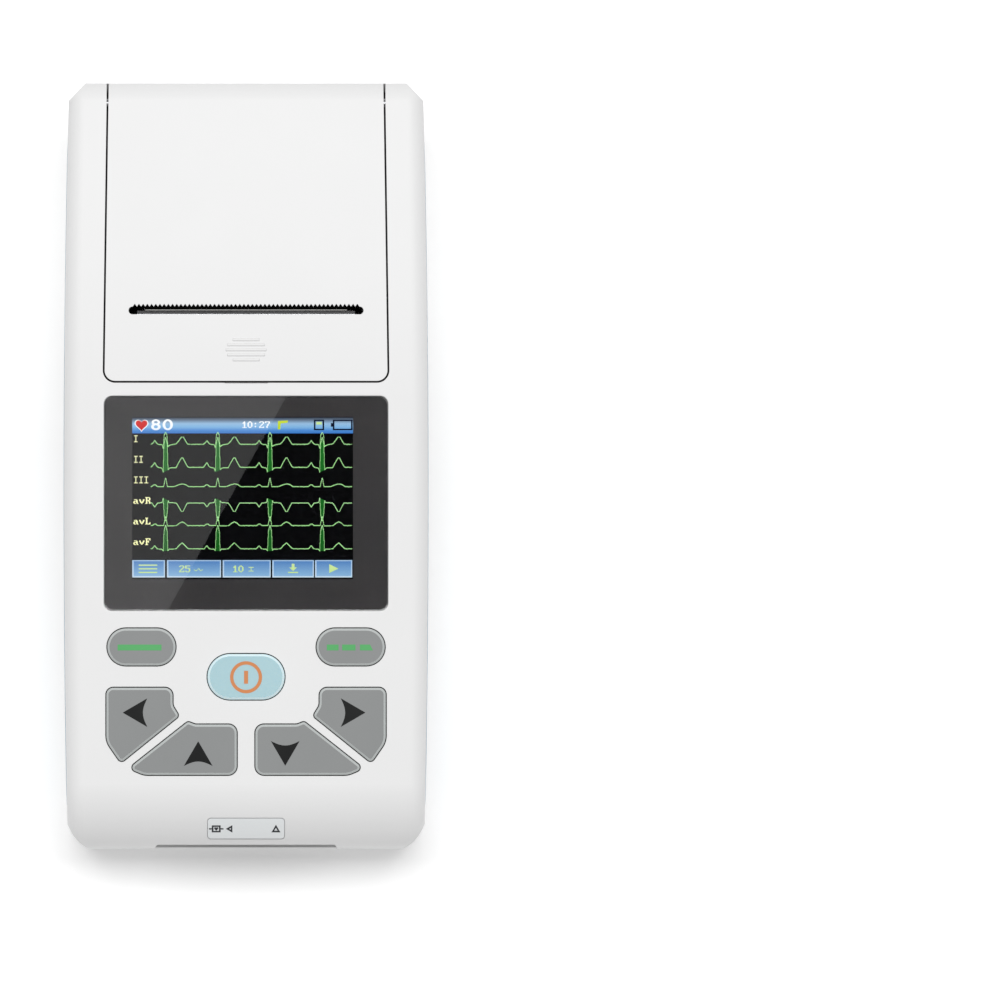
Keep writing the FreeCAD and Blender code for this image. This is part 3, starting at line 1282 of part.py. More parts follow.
def paper():
    """Trough, spindle, core, roll and the free end of the sheet."""
    y, z = ROLL
    outer_radius = "Sizes.trough_radius + Sizes.trough_thick"
    hull = rod("trough_outer", "YZ", ROLL, -TROUGH_SIDE, outer_radius, 2 * TROUGH_SIDE)
    inside = rod("trough_inner", "YZ", ROLL, -TROUGH_SIDE + 1.4, "Sizes.trough_radius", 2 * TROUGH_SIDE - 2.8)
    above = box("trough_above", (-FAR, y - 40.0, -20.0), (FAR, y + 40.0, 10.0))
    slot = box("trough_slot", (-FAR, y - 2.7, z), (FAR, y + 2.7, 10.0))
    slot_end = rod("trough_slot_end", "YZ", ROLL, -FAR, 2.7, 2 * FAR)
    node("paper_trough", cut("paper_trough", hull, [inside, above, slot, slot_end]))

    spindle = rod("spindle_bar", "YZ", ROLL, -25.6, "Sizes.spindle_radius", 51.2)
    ends = rod("spindle_ends", "YZ", ROLL, -TROUGH_SIDE, 2.5, 2 * TROUGH_SIDE)
    node("paper_spindle", fuse("paper_spindle", [spindle, ends]))

    half = size("paper_width") / 2
    core = bar("core_blank", "YZ", ROLL, -half, "Sizes.core_outer", "Sizes.paper_width")
    core_bore = rod("core_bore", "YZ", ROLL, -FAR, "Sizes.core_inner", 2 * FAR)
    node("paper_core", cut("paper_core", core, [core_bore]))
    roll = bar("roll_blank", "YZ", ROLL, -half, "Sizes.roll_radius", "Sizes.paper_width")
    roll_bore = rod("roll_bore", "YZ", ROLL, -FAR, "Sizes.core_outer", 2 * FAR)
    node("paper_roll", cut("paper_roll", roll, [roll_bore]))

    # the sheet leaves the top of the roll, passes under the platen and turns up between platen and head
    thick = size("sheet_thick")
    near = size("platen_radius") + 0.06
    far = near + thick
    roll_near = size("roll_radius") + 0.06
    span = math.hypot(y - PLATEN[0], z - PLATEN[1])
    heading = direction(PLATEN, ROLL) + math.asin((near + roll_near + thick) / span)
    normal = Vector(math.sin(heading), -math.cos(heading), 0)
    hub = Vector(PLATEN[0], PLATEN[1], 0)
    roll_hub = Vector(y, z, 0)
    leave_near, leave_far = hub + normal * near, hub + normal * far
    end_near, end_far = roll_hub - normal * (roll_near + thick), roll_hub - normal * roll_near
    halfway = (math.pi + heading + 3 * math.pi / 2) / 2
    around = Vector(math.cos(halfway), math.sin(halfway), 0)
    top = -3.0
    edges = [
        Part.LineSegment(end_near, leave_near),
        Part.Arc(leave_near, hub + around * near, hub - Vector(near, 0, 0)),
        Part.LineSegment(hub - Vector(near, 0, 0), Vector(hub.x - near, top, 0)),
        Part.LineSegment(Vector(hub.x - near, top, 0), Vector(hub.x - far, top, 0)),
        Part.LineSegment(Vector(hub.x - far, top, 0), hub - Vector(far, 0, 0)),
        Part.Arc(hub - Vector(far, 0, 0), hub + around * far, leave_far),
        Part.LineSegment(leave_far, end_far),
        Part.LineSegment(end_far, end_near),
    ]
    node("paper_lead", prism("paper_lead", "YZ", -half, edges, "Sizes.paper_width"))


paper()

# ---------------------------------------------------------------- stance and output


def failed(obj):
    return [state for state in obj.State if state in ("Invalid", "Error")]


doc.recompute()
stance_turn = Placement(Vector(), Rotation(Vector(1, 0, 0), size("stance_angle")))
tilted = outer.Shape.copy()
tilted.transformShape(stance_turn.toMatrix())
reach = tilted.optimalBoundingBox(True)
stance = Placement(Vector(0.0, -(reach.YMin + reach.YMax) / 2, -reach.ZMin), stance_turn.Rotation)

for label, piece in nodes.items():
    piece.Label = label
    piece.Placement = stance.multiply(piece.Placement)
doc.recompute()

for obj in doc.Objects:
    assert not failed(obj), obj.Name + " failed"
for label, piece in nodes.items():
    shape = piece.Shape
    assert not shape.isNull() and shape.isValid(), label + " has no valid shape"
    assert shape.Solids, label + " is not solid"
assert len(nodes) <= 60, "too many nodes"
for label, piece in nodes.items():
    piece.Shape.exportStep("parts/" + label + ".step")
print(len(nodes), "sub-parts; stance moves the case frame by", stance.Base)
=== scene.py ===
"""Looks of the handheld ECG machine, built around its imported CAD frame.

Everything that is added is drawn in the case's own frame, in millimetres: x to the right, y from the
connector end to the paper end, z = 0 on the flat face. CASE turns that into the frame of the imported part,
in metres.
"""
import json
import math

import bmesh
import bpy
from mathutils import Matrix, Vector
from mathutils.bvhtree import BVHTree


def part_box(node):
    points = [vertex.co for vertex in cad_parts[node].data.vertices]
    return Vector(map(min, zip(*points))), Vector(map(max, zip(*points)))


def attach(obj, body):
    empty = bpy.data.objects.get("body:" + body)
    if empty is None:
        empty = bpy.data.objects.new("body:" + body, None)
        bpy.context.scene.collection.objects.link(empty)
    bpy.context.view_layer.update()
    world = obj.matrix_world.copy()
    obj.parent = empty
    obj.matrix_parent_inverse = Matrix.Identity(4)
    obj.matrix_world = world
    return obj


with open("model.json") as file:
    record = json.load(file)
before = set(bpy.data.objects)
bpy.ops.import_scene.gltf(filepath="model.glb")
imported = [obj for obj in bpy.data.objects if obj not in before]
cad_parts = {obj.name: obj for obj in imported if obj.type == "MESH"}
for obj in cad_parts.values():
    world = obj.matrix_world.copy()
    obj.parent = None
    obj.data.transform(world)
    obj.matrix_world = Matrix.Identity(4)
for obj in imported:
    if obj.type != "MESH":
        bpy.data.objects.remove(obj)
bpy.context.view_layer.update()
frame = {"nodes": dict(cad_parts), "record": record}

nodes = frame["nodes"]
mounts = {mount["name"]: mount for mount in frame["record"]["mounts"]}

# ---------------------------------------------------------------- the case's own frame

# the jackscrews' mouths lie this far behind the connector end and this far under the flat face
MOUTH_BEHIND, MOUTH_UNDER = 0.0048, 0.0265
MILLIMETRE = 0.001

left_screw, right_screw = mounts["jackscrew_left"], mounts["jackscrew_right"]
along = -Vector(left_screw["axis"])
outward = Vector((1, 0, 0)).cross(along)
between_screws = (Vector(left_screw["pos_m"]) + Vector(right_screw["pos_m"])) / 2
case_origin = between_screws - along * MOUTH_BEHIND + outward * MOUTH_UNDER
case_axes = Matrix(((1, along.x, outward.x), (0, along.y, outward.y), (0, along.z, outward.z))).to_4x4()
CASE = Matrix.Translation(case_origin) @ case_axes @ Matrix.Scale(MILLIMETRE, 4)


def in_case(x, y, z):
    """A spot given in the case frame."""
    return CASE @ Vector((x, y, z))


# ---------------------------------------------------------------- materials


def srgb(r, g, b):
    """Linear colour of an 8-bit screen colour."""
    values = []
    for value in (r, g, b):
        value /= 255
        values.append(value / 12.92 if value <= 0.04045 else ((value + 0.055) / 1.055) ** 2.4)
    return (*values, 1.0)


class Surface:
    """A principled material with coordinates in the part's frame, and short calls for its usual nodes."""

    def __init__(self, name, **sockets):
        self.material = bpy.data.materials.new(name)
        self.material.use_nodes = True
        self.tree = self.material.node_tree
        self.shader = self.tree.nodes["Principled BSDF"]
        self.coords = self.tree.nodes.new("ShaderNodeTexCoord").outputs["Object"]
        for socket, value in sockets.items():
            self.shader.inputs[socket.replace("_", " ")].default_value = value

    def add(self, kind, **inputs):
        """A new node with some of its inputs set or linked."""
        node = self.tree.nodes.new(kind)
        for socket, value in inputs.items():
            self.put(node.inputs[socket.replace("_", " ")], value)
        return node

    def put(self, socket, value):
        if isinstance(value, bpy.types.NodeSocket):
            self.tree.links.new(value, socket)
        else:
            socket.default_value = value

    def noise(self, size, detail=2.0, stretch=None, roughness=0.5):
        """Noise whose features are about `size` metres, stretched along each axis if asked."""
        vector = self.coords
        if stretch:
            mapping = self.add("ShaderNodeMapping", Vector=vector)
            mapping.inputs["Scale"].default_value = stretch
            vector = mapping.outputs["Vector"]
        return self.add("ShaderNodeTexNoise", Vector=vector, Scale=1 / size, Detail=detail,
                        Roughness=roughness).outputs["Fac"]

    def span(self, factor, low, high, start=0.3, end=0.7):
        """The factor's stretch from start to end spread over low to high."""
        node = self.add("ShaderNodeMapRange", Value=factor)
        node.inputs["From Min"].default_value = start
        node.inputs["From Max"].default_value = end
        node.inputs["To Min"].default_value = low
        node.inputs["To Max"].default_value = high
        return node.outputs["Result"]

    def mix(self, factor, first, second):
        node = self.tree.nodes.new("ShaderNodeMix")
        node.data_type = "RGBA"
        for socket, value in (("Factor", factor), ("A", first), ("B", second)):
            self.put([s for s in node.inputs if s.name == socket and s.enabled][0], value)
        return [s for s in node.outputs if s.enabled][0]

    def bump(self, height, depth, under=None):
        """Normals of a relief that is `depth` metres high, laid over the normals `under` it."""
        node = self.add("ShaderNodeBump", Height=height, Distance=depth, Strength=1.0)
        if under is not None:
            self.put(node.inputs["Normal"], under)
        return node.outputs["Normal"]

    def rounded(self, radius):
        """Normals that round off hard edges by a small radius."""
        node = self.add("ShaderNodeBevel", Radius=radius)
        node.samples = 4
        return node.outputs["Normal"]

    def facing(self, direction, low, high):
        """0 where the face looks along direction, rising to 1 as it turns from cosine high to cosine low."""
        node = self.add("ShaderNodeVectorMath")
        node.operation = "DOT_PRODUCT"
        self.put(node.inputs[0], self.tree.nodes.new("ShaderNodeNewGeometry").outputs["Normal"])
        node.inputs[1].default_value = direction
        return self.span(node.outputs["Value"], 1.0, 0.0, low, high)

    def set(self, socket, value):
        self.put(self.shader.inputs[socket], value)


def shade(colour, factor):
    """The colour made darker or lighter."""
    return tuple(min(1.0, channel * factor) for channel in colour[:3]) + (1.0,)


def moulded(name, colour, rough=0.35, grain=0.0003, depth=0.000004, mottle=0.025, edge=0.0, rim=None,
            uneven=0.1, **sockets):
    """Moulded plastic or rubber: slow and fine colour changes, uneven gloss and a fine skin.

    grain and depth are the size and height of the skin's features, and edge the radius that softens hard
    edges, in metres. rim is a direction and a colour: faces that turn away from it take the colour as a
    painted highlight along the edges.
    """
    s = Surface(name, **sockets)
    broad, fine = s.noise(0.035, 3.0), s.noise(grain, 2.0)
    slow = s.mix(s.span(broad, 0.0, 1.0), shade(colour, 1 - mottle), shade(colour, 1 + mottle * 0.6))
    skin = s.mix(s.span(fine, 0.0, 0.5), slow, shade(colour, 1 - 1.6 * mottle))
    # painted highlight: faces that turn away from the direction take the lighter rim colour
    if rim:
        direction, highlight_colour = rim
        skin = s.mix(s.facing(direction, 0.75, 0.97), skin, highlight_colour)
    s.set("Base Color", skin)
    s.set("Roughness", s.span(s.noise(0.012, 4.0), rough * (1 - uneven), rough * (1 + uneven)))
    s.set("Normal", s.bump(fine, depth, s.rounded(edge) if edge else None))
    return s.material


def metal(name, colour, rough=0.3, brushed=(1, 1, 1), grain=0.0002, depth=0.000003, edge=0.0, **sockets):
    """Metal with brushed or ground lines and faint stains."""
    s = Surface(name, Metallic=1.0, **sockets)
    lines = s.noise(grain, 3.0, brushed)
    stains = s.noise(0.006, 4.0)
    worn = s.mix(s.span(stains, 0.0, 1.0, 0.35, 0.75), colour, shade(colour, 0.82))
    s.set("Base Color", s.mix(s.span(lines, 0.0, 0.35), worn, shade(colour, 0.75)))
    s.set("Roughness", s.span(lines, rough * 0.75, rough * 1.3))
    s.set("Normal", s.bump(lines, depth, s.rounded(edge) if edge else None))
    return s.material


PANEL_LINES = 1850.0  # one dark line every 0.17 mm


def lit(name, *stops, strength=1.0, pixel=0.06):
    """Light from the display: stops of colour up the piece, crossed by the panel's fine pixel lines."""
    s = Surface(name, Roughness=0.6, Specular_IOR_Level=0.0)
    generated = s.tree.nodes.new("ShaderNodeTexCoord").outputs["Generated"]
    height = s.add("ShaderNodeSeparateXYZ", Vector=generated).outputs["Y"]
    wave = s.add("ShaderNodeTexWave", Vector=s.coords, Scale=PANEL_LINES)
    wave.bands_direction = "X"
    ramp = s.add("ShaderNodeValToRGB", Fac=height)
    while len(ramp.color_ramp.elements) < len(stops):
        ramp.color_ramp.elements.new(0.5)
    for number, colour in enumerate(stops):
        ramp.color_ramp.elements[number].position = number / max(1, len(stops) - 1)
        ramp.color_ramp.elements[number].color = colour
    shaded = ramp.outputs["Color"]
    lined = s.mix(s.span(wave.outputs["Fac"], 0.0, pixel, 0.0, 1.0), shaded, (0, 0, 0, 1))
    s.set("Base Color", (0.004, 0.004, 0.005, 1))
    s.set("Emission Color", lined)
    s.set("Emission Strength", strength)
    return s.material


def white_skin(name):
    return moulded(name, srgb(221, 221, 221), 0.42, 0.0004, 0.000002, 0.01, 0.00018, uneven=0.03,
                   Specular_IOR_Level=0.22)


white_case = white_skin("white_case")
white_door = white_skin("white_door")
white_base = moulded("white_base", srgb(216, 217, 217), 0.45, 0.0005, 0.000005, 0.012, 0.0002, uneven=0.05,
                     Specular_IOR_Level=0.35)
trim_blue = moulded("trim_blue", srgb(156, 182, 197), 0.4, 0.0004, 0.000003, 0.02, 0.0003,
                    Specular_IOR_Level=0.4)
# the lighter colour on the key's edges that turn away from the face is a painted highlight
key_grey = moulded("key_grey", srgb(132, 134, 134), 0.5, 0.00022, 0.000006, 0.03, 0.00025,
                   (outward, srgb(182, 186, 185)), Specular_IOR_Level=0.3)
# the lighter colour on the key's edges that turn away from the face is a painted highlight
key_blue = moulded("key_blue", srgb(164, 196, 203), 0.45, 0.00022, 0.000005, 0.025, 0.00025,
                   (outward, srgb(212, 234, 239)), Specular_IOR_Level=0.3, Subsurface_Weight=0.2,
                   Subsurface_Radius=(0.002, 0.0025, 0.003), Subsurface_Scale=0.4)
mask_grey = moulded("mask_grey", srgb(66, 64, 65), 0.5, 0.0004, 0.000001, 0.02, Specular_IOR_Level=0.1)
black_plastic = moulded("black_plastic", srgb(24, 24, 26), 0.45, 0.0003, 0.000006, 0.06, 0.0001)
frame_plastic = moulded("frame_plastic", srgb(58, 60, 62), 0.5, 0.0004, 0.00001, 0.05, 0.00015)
trough_plastic = moulded("trough_plastic", srgb(72, 75, 78), 0.5, 0.0005, 0.00001, 0.04, 0.00015)
pale_plastic = moulded("pale_plastic", srgb(205, 204, 198), 0.5, 0.0004, 0.000008, 0.03)
nylon = moulded("nylon", srgb(222, 216, 203), 0.45, 0.0003, 0.000004, 0.03, 0.00005, Subsurface_Weight=0.2,
                Subsurface_Radius=(0.001, 0.001, 0.0008), Subsurface_Scale=0.5)
platen_rubber = moulded("platen_rubber", srgb(38, 38, 39), 0.62, 0.00015, 0.000008, 0.08, 0.0002)
bronze = metal("bronze", srgb(146, 112, 70), 0.42, depth=0.000006)
shell_tin = metal("shell_tin", srgb(176, 175, 171), 0.3, (1, 14, 1), 0.0006, 0.000003, 0.0001)
zinc = metal("zinc", srgb(190, 192, 195), 0.3, (1, 6, 1), 0.0008, 0.0000006, 0.00006)
steel = metal("steel", srgb(186, 187, 190), 0.24, (0.05, 1, 1), 0.0001, 0.000002, 0.00005)
aluminium = metal("aluminium", srgb(200, 202, 205), 0.34, (0.05, 1, 1), 0.0002, 0.000003, 0.0001)
gold = metal("gold", srgb(212, 176, 96), 0.22, grain=0.0003)
brass = metal("brass", srgb(190, 158, 92), 0.28, (0.1, 1, 1), 0.0001, 0.000002)
cell_wrap = moulded("cell_wrap", srgb(60, 110, 160), 0.25, 0.001, 0.00001, 0.03)
head_glaze = moulded("head_glaze", srgb(52, 52, 54), 0.18, 0.0006, 0.000001, 0.05, 0.0001)
flex = moulded("flex", srgb(178, 118, 44), 0.3, 0.0005, 0.000003, 0.05)


def board_green():
    """Solder mask with the faint relief of the tracks under it."""
    s = Surface("board_green", Coat_Weight=0.4, Coat_Roughness=0.2)
    tracks = s.add("ShaderNodeTexBrick", Vector=s.coords, Scale=260.0)
    tracks.inputs["Mortar Size"].default_value = 0.06
    lines = tracks.outputs["Fac"]
    s.set("Base Color", s.mix(lines, srgb(18, 84, 48), srgb(30, 112, 62)))
    s.set("Roughness", s.span(s.noise(0.004), 0.35, 0.5))
    s.set("Normal", s.bump(lines, 0.00001))
    return s.material


WINDING = 12000.0  # radians a metre: a ring about every half millimetre


def paper(name, colour, wound):
    """Coated paper; on the roll the end faces show its winding."""
    s = Surface(name, Sheen_Weight=0.1)
    fibre = s.noise(0.0004, 4.0, (1, 0.4, 1))
    s.set("Base Color", s.mix(s.span(fibre, 0.0, 0.6), shade(colour, 1.02), shade(colour, 0.965)))
    s.set("Roughness", s.span(fibre, 0.5, 0.62))
    if wound:
        low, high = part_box("paper_roll")
        middle = (low + high) / 2
        mapping = s.add("ShaderNodeMapping", Vector=s.coords)
        mapping.inputs["Location"].default_value = -middle
        radial = s.add("ShaderNodeMapping", Vector=mapping.outputs["Vector"])
        radial.inputs["Scale"].default_value = (0, 1, 1)
        distance = s.add("ShaderNodeVectorMath", Vector=radial.outputs["Vector"])
        distance.operation = "LENGTH"
        rings = s.add("ShaderNodeMath")
        rings.operation = "MULTIPLY"
        s.put(rings.inputs[0], distance.outputs["Value"])
        rings.inputs[1].default_value = WINDING
        sine = s.add("ShaderNodeMath")
        sine.operation = "SINE"
        s.put(sine.inputs[0], rings.outputs["Value"])
        s.set("Normal", s.bump(sine.outputs["Value"], 0.00001))
    else:
        s.set("Normal", s.bump(fibre, 0.000006))
    return s.material


def clear_window():
    """Clear hard-coated window with a barely visible wipe."""
    s = Surface("clear_window", Transmission_Weight=1.0, IOR=1.46)
    s.set("Base Color", s.mix(s.span(s.noise(0.02), 0.0, 1.0), (0.97, 0.98, 0.98, 1), (1, 1, 1, 1)))
    s.set("Roughness", 0.0)
    return s.material


def card_tube():
    """Pressed card with its fibres round the tube."""
    s = Surface("card_tube", Roughness=0.8)
    fibre = s.noise(0.0008, 4.0, (0.3, 1, 1))
    s.set("Base Color", s.mix(s.span(fibre, 0.0, 1.0), srgb(178, 156, 124), srgb(148, 124, 94)))
    s.set("Normal", s.bump(fibre, 0.00003))
    return s.material


node_materials = {
    white_case: ["top_case"],
    white_door: ["paper_door"],
    white_base: ["bottom_case", "battery_cover"],
    trim_blue: ["left_trim", "right_trim"],
    key_grey: ["left_oval_key", "right_oval_key", "left_arrow_key", "right_arrow_key", "up_arrow_key",
               "down_arrow_key"],
    key_blue: ["power_key"],
    clear_window(): ["display_window"],
    black_plastic: ["dc_jack_body", "connector_insulator", "buzzer"],
    frame_plastic: ["lcd_carrier", "printer_frame"],
    trough_plastic: ["paper_trough", "paper_spindle"],
    pale_plastic: ["keypad_mat", "lcd_backlight"],
    nylon: ["platen_gear", "idler_gear"],
    platen_rubber: ["platen_roller"],
    bronze: ["platen_bushings"],
    shell_tin: ["connector_front_shell", "connector_rear_shell"],
    zinc: ["board_screws", "case_screws", "battery_cover_screws", "printer_screws", "connector_jackscrews",
           "stepper_motor"],
    steel: ["door_hinge_pin", "idler_pin", "platen_shaft", "tear_bar", "head_springs", "dome_contacts"],
    aluminium: ["heat_sink"],
    gold: ["connector_contacts", "dc_jack_pin", "board_spacers"],
    brass: ["motor_pinion"],
    cell_wrap: ["battery_cells"],
    head_glaze: ["thermal_head"],
    flex: ["lcd_flex"],
    board_green(): ["key_board", "main_board"],
    paper("roll_paper", srgb(226, 226, 221), True): ["paper_roll"],
    paper("sheet_paper", srgb(230, 230, 226), False): ["paper_lead"],
    card_tube(): ["paper_core"],
    moulded("lcd_glass", srgb(10, 10, 12), 0.2, 0.001, 0.000001, 0.05): ["lcd_panel"],
    moulded("label_film", srgb(222, 225, 226), 0.3, 0.0004, 0.000002, 0.015): ["label_plate"],
}
for material, names in node_materials.items():
    for name in names:
        nodes[name].data.materials.clear()
        nodes[name].data.materials.append(material)

# ---------------------------------------------------------------- pieces drawn in the case frame


def finish_piece(name, bm, material, body):
    """Make the drawn faces a piece that rides a body."""
    bmesh.ops.recalc_face_normals(bm, faces=bm.faces)
    mesh = bpy.data.meshes.new(name)
    bm.to_mesh(mesh)
    bm.free()
    mesh.materials.append(material)
    piece = bpy.data.objects.new(name, mesh)
    bpy.context.scene.collection.objects.link(piece)
    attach(piece, body)
    return piece


def slabs(name, outlines, low, high, material, body="machine", place=in_case):
    """Thin solids on closed outlines, from height low to high over the face."""
    bm = bmesh.new()
    for outline in outlines:
        bottom = [bm.verts.new(place(x, y, low)) for x, y in outline]
        top = [bm.verts.new(place(x, y, high)) for x, y in outline]
        bm.faces.new(bottom[::-1])
        bm.faces.new(top)
        for i in range(len(outline)):
            j = (i + 1) % len(outline)
            bm.faces.new((bottom[i], bottom[j], top[j], top[i]))
    return finish_piece(name, bm, material, body)


def ringed(name, rings, low, high, material, body="machine", place=in_case):
    """Thin frames: each is an outer and an inner outline with the same number of points."""
    bm = bmesh.new()
    for outer, inner in rings:
        loops = [[bm.verts.new(place(x, y, z)) for x, y in outline]
                 for outline, z in ((outer, low), (outer, high), (inner, high), (inner, low))]
        for a, b in zip(loops, loops[1:] + loops[:1]):
            for i in range(len(a)):
                j = (i + 1) % len(a)
                bm.faces.new((a[i], a[j], b[j], b[i]))
    return finish_piece(name, bm, material, body)


def rectangle(x0, y0, x1, y1):
    return [(x0, y0), (x1, y0), (x1, y1), (x0, y1)]


def ellipse(x, y, rx, ry, count=48, start=0.0, turn=2 * math.pi):
    """A whole ellipse, or the stretch of it that turns from start by less than a whole turn."""
    step = turn / (count if turn == 2 * math.pi else count - 1)
    return [(x + rx * math.cos(start + i * step), y + ry * math.sin(start + i * step)) for i in range(count)]


def round_rectangle(x0, y0, x1, y1, radius, corner=8):
    points = []
    for x, y, start in ((x1 - radius, y1 - radius, 0), (x0 + radius, y1 - radius, 90),
                        (x0 + radius, y0 + radius, 180), (x1 - radius, y0 + radius, 270)):
        points += ellipse(x, y, radius, radius, corner, math.radians(start), math.pi / 2)
    return points


# ---------------------------------------------------------------- display

# heights under the flat face, and the lit part of the panel
LCD_TOP = -2.6
GLASS_BACK = -1.2
VIEW_X0, VIEW_Y0, VIEW_X1, VIEW_Y1 = -28.2, 67.0, 26.5, 107.2

ringed("window_mask", [(round_rectangle(-34.9, 59.5, 34.9, 112.1, 1.9),
                        round_rectangle(VIEW_X0, VIEW_Y0, VIEW_X1, VIEW_Y1, 0.15))],
       GLASS_BACK - 0.045, GLASS_BACK - 0.005, mask_grey)

PIXEL = 0.185
GLYPHS = {
    "I": " ##### /   #   /   #   /   #   /   #   /   #   /   #   /   #   / ##### ",
    "a": "       /       /       / ####  /    ## / ##### /##  ## /##  ## / ### ##",
    "v": "       /       /       /##   ##/##   ##/ ## ## / ## ## /  ###  /   #   ",
    "R": "###### / ##  ##/ ##  ##/ ##  ##/ ##### / ## ## / ##  ##/ ##  ##/###  ##",
    "L": "####   / ##    / ##    / ##    / ##    / ##    / ##   #/ ##  ##/#######",
    "F": "#######/ ##  ##/ ##   #/ ## #  / ####  / ## #  / ##    / ##    /####   ",
    "0": "  ###  / ## ## /##   ##/##   ##/##   ##/##   ##/##   ##/ ## ## /  ###  ",
    "1": "   ##  /  ###  / ####  /   ##  /   ##  /   ##  /   ##  /   ##  / ######",
    "2": " ##### /##   ##/     ##/    ## /   ##  /  ##   / ##    /##   ##/#######",
    "5": "#######/##     /##     /###### /     ##/     ##/     ##/##   ##/ ##### ",
    "7": "#######/##   ##/     ##/    ## /   ##  /   ##  /  ##   /  ##   /  ##   ",
    ":": "       /       /  ##   /  ##   /       /       /  ##   /  ##   /       ",
}


def pixels(rows, x, y, pixel=PIXEL):
    """Outlines of the filled runs of a small drawing whose lower left corner is at x, y."""
    runs = []
    for level, row in enumerate(reversed(rows.split("/"))):
        start = None
        for column, mark in enumerate(row + " "):
            if mark == "#" and start is None:
                start = column
            elif mark != "#" and start is not None:
                runs.append(rectangle(x + start * pixel, y + level * pixel, x + column * pixel,
                                      y + (level + 1) * pixel))
                start = None
    return runs


def text(words, x, y, pixel=PIXEL, advance=8):
    """Runs of a row of glyphs; a narrow I takes less room."""
    runs = []
    for letter in words:
        runs += pixels(GLYPHS[letter], x, y, pixel)
        x += pixel * (7 if letter == "I" else advance)
    return runs


FIRST_BEAT, BEAT_GAP = -19.93, 12.93
BEATS = [FIRST_BEAT + BEAT_GAP * i for i in range(4)]
# each lead: height of its line, and its beat as offsets from the spike: (along, up)
LEADS = [
    (100.4, [(-3.6, 0), (-3.1, 0.35), (-2.7, 0.95), (-2.2, 0.25), (-1.9, 0), (-0.9, -0.1), (-0.6, -0.95),
             (-0.35, 2.3), (-0.05, 2.9), (0.05, 2.9), (0.35, 2.3), (0.55, -0.6), (0.8, -0.35), (1.4, -0.1),
             (2.6, 0.1), (3.3, 0.9), (3.9, 1.8), (4.4, 1.8), (4.9, 0.9), (5.4, 0.1), (5.7, 0)]),
    (94.7, [(-3.6, 0), (-3.1, 0.6), (-2.7, 1.2), (-2.2, 0.3), (-1.9, 0), (-0.9, -0.2), (-0.6, -1.2),
            (-0.4, 5.8), (-0.05, 7.4), (0.05, 7.4), (0.4, 5.8), (0.6, -0.65), (0.9, -0.25), (1.4, -0.1),
            (2.6, -0.1), (3.2, 1.1), (3.9, 2.3), (4.3, 2.3), (4.9, 1.1), (5.5, 0.1), (5.8, 0)]),
    (89.9, [(-3.5, 0), (-2.9, 0.45), (-2.5, 0.45), (-2.0, 0), (-0.5, 0), (-0.05, 2.1), (0.05, 2.1),
            (0.45, 0), (2.2, 0.05), (3.3, 0.5), (4.2, 0.7), (5.0, 0.5), (5.7, 0)]),
    (85.85, [(-3.4, 0), (-2.7, -1.0), (-2.0, 0), (-0.9, 0.1), (-0.6, 1.2), (-0.35, -3.0), (-0.05, -4.4),
             (0.05, -4.4), (0.35, -3.0), (0.6, 0.65), (0.8, 0.15), (2.6, 0), (3.1, -0.7), (3.9, -2.1),
             (4.3, -2.1), (5.0, -0.7), (5.4, 0)]),
    (80.25, [(-3.3, 0), (-2.8, 0.4), (-2.4, 0.4), (-2.0, 0), (-0.5, 0), (-0.05, 2.2), (0.05, 2.2),
             (0.45, -0.1), (2.7, 0), (3.4, 0.6), (4.1, 0.95), (4.8, 0.6), (5.4, 0)]),
    (74.5, [(-3.4, 0), (-2.7, 0.8), (-2.1, 0), (-0.9, -0.1), (-0.6, -0.5), (-0.4, 4.3), (-0.05, 5.8),
            (0.05, 5.8), (0.4, 4.3), (0.55, -0.5), (0.8, -0.1), (2.6, 0), (3.3, 0.8), (4.1, 1.5),
            (4.8, 0.8), (5.5, 0.1), (5.9, 0)]),
]


def level_of(beat, base, x):
    """Height of a lead's line at x, with a small ripple between the waves."""
    middle = (beat[0][0] + beat[-1][0]) / 2
    nearest = min(BEATS + [BEATS[-1] + BEAT_GAP], key=lambda centre: abs(x - centre - middle))
    offset = x - nearest
    if offset <= beat[0][0] or offset >= beat[-1][0]:
        return base + 0.05 * math.sin(9.0 * x + base) * math.sin(2.3 * x)
    for (x0, y0), (x1, y1) in zip(beat, beat[1:]):
        if x0 <= offset <= x1:
            return base + y0 + (y1 - y0) * (offset - x0) / (x1 - x0)
    return base


TRACE_START = -23.6


def trace(base, beat):
    """The line as the display draws it: one upright run of pixels for each column."""
    start, end, step, thick = TRACE_START, VIEW_X1 - 0.2, 0.09, 0.16
    columns = int((end - start) / step)
    levels = [level_of(beat, base, start + i * step) for i in range(columns + 1)]
    runs = []
    for i in range(columns):
        low, high = sorted((levels[i], levels[i + 1]))
        low = round((low - thick / 2) / step) * step
        high = max(round((high + thick / 2) / step) * step, low + step)
        previous = runs[-1] if runs else None
        x0 = start + i * step
        if previous and abs(previous[0][1] - low) < 1e-6 and abs(previous[2][1] - high) < 1e-6:
            runs[-1] = rectangle(previous[0][0], low, x0 + step, high)
        else:
            runs.append(rectangle(x0, low, x0 + step, high))
    return runs


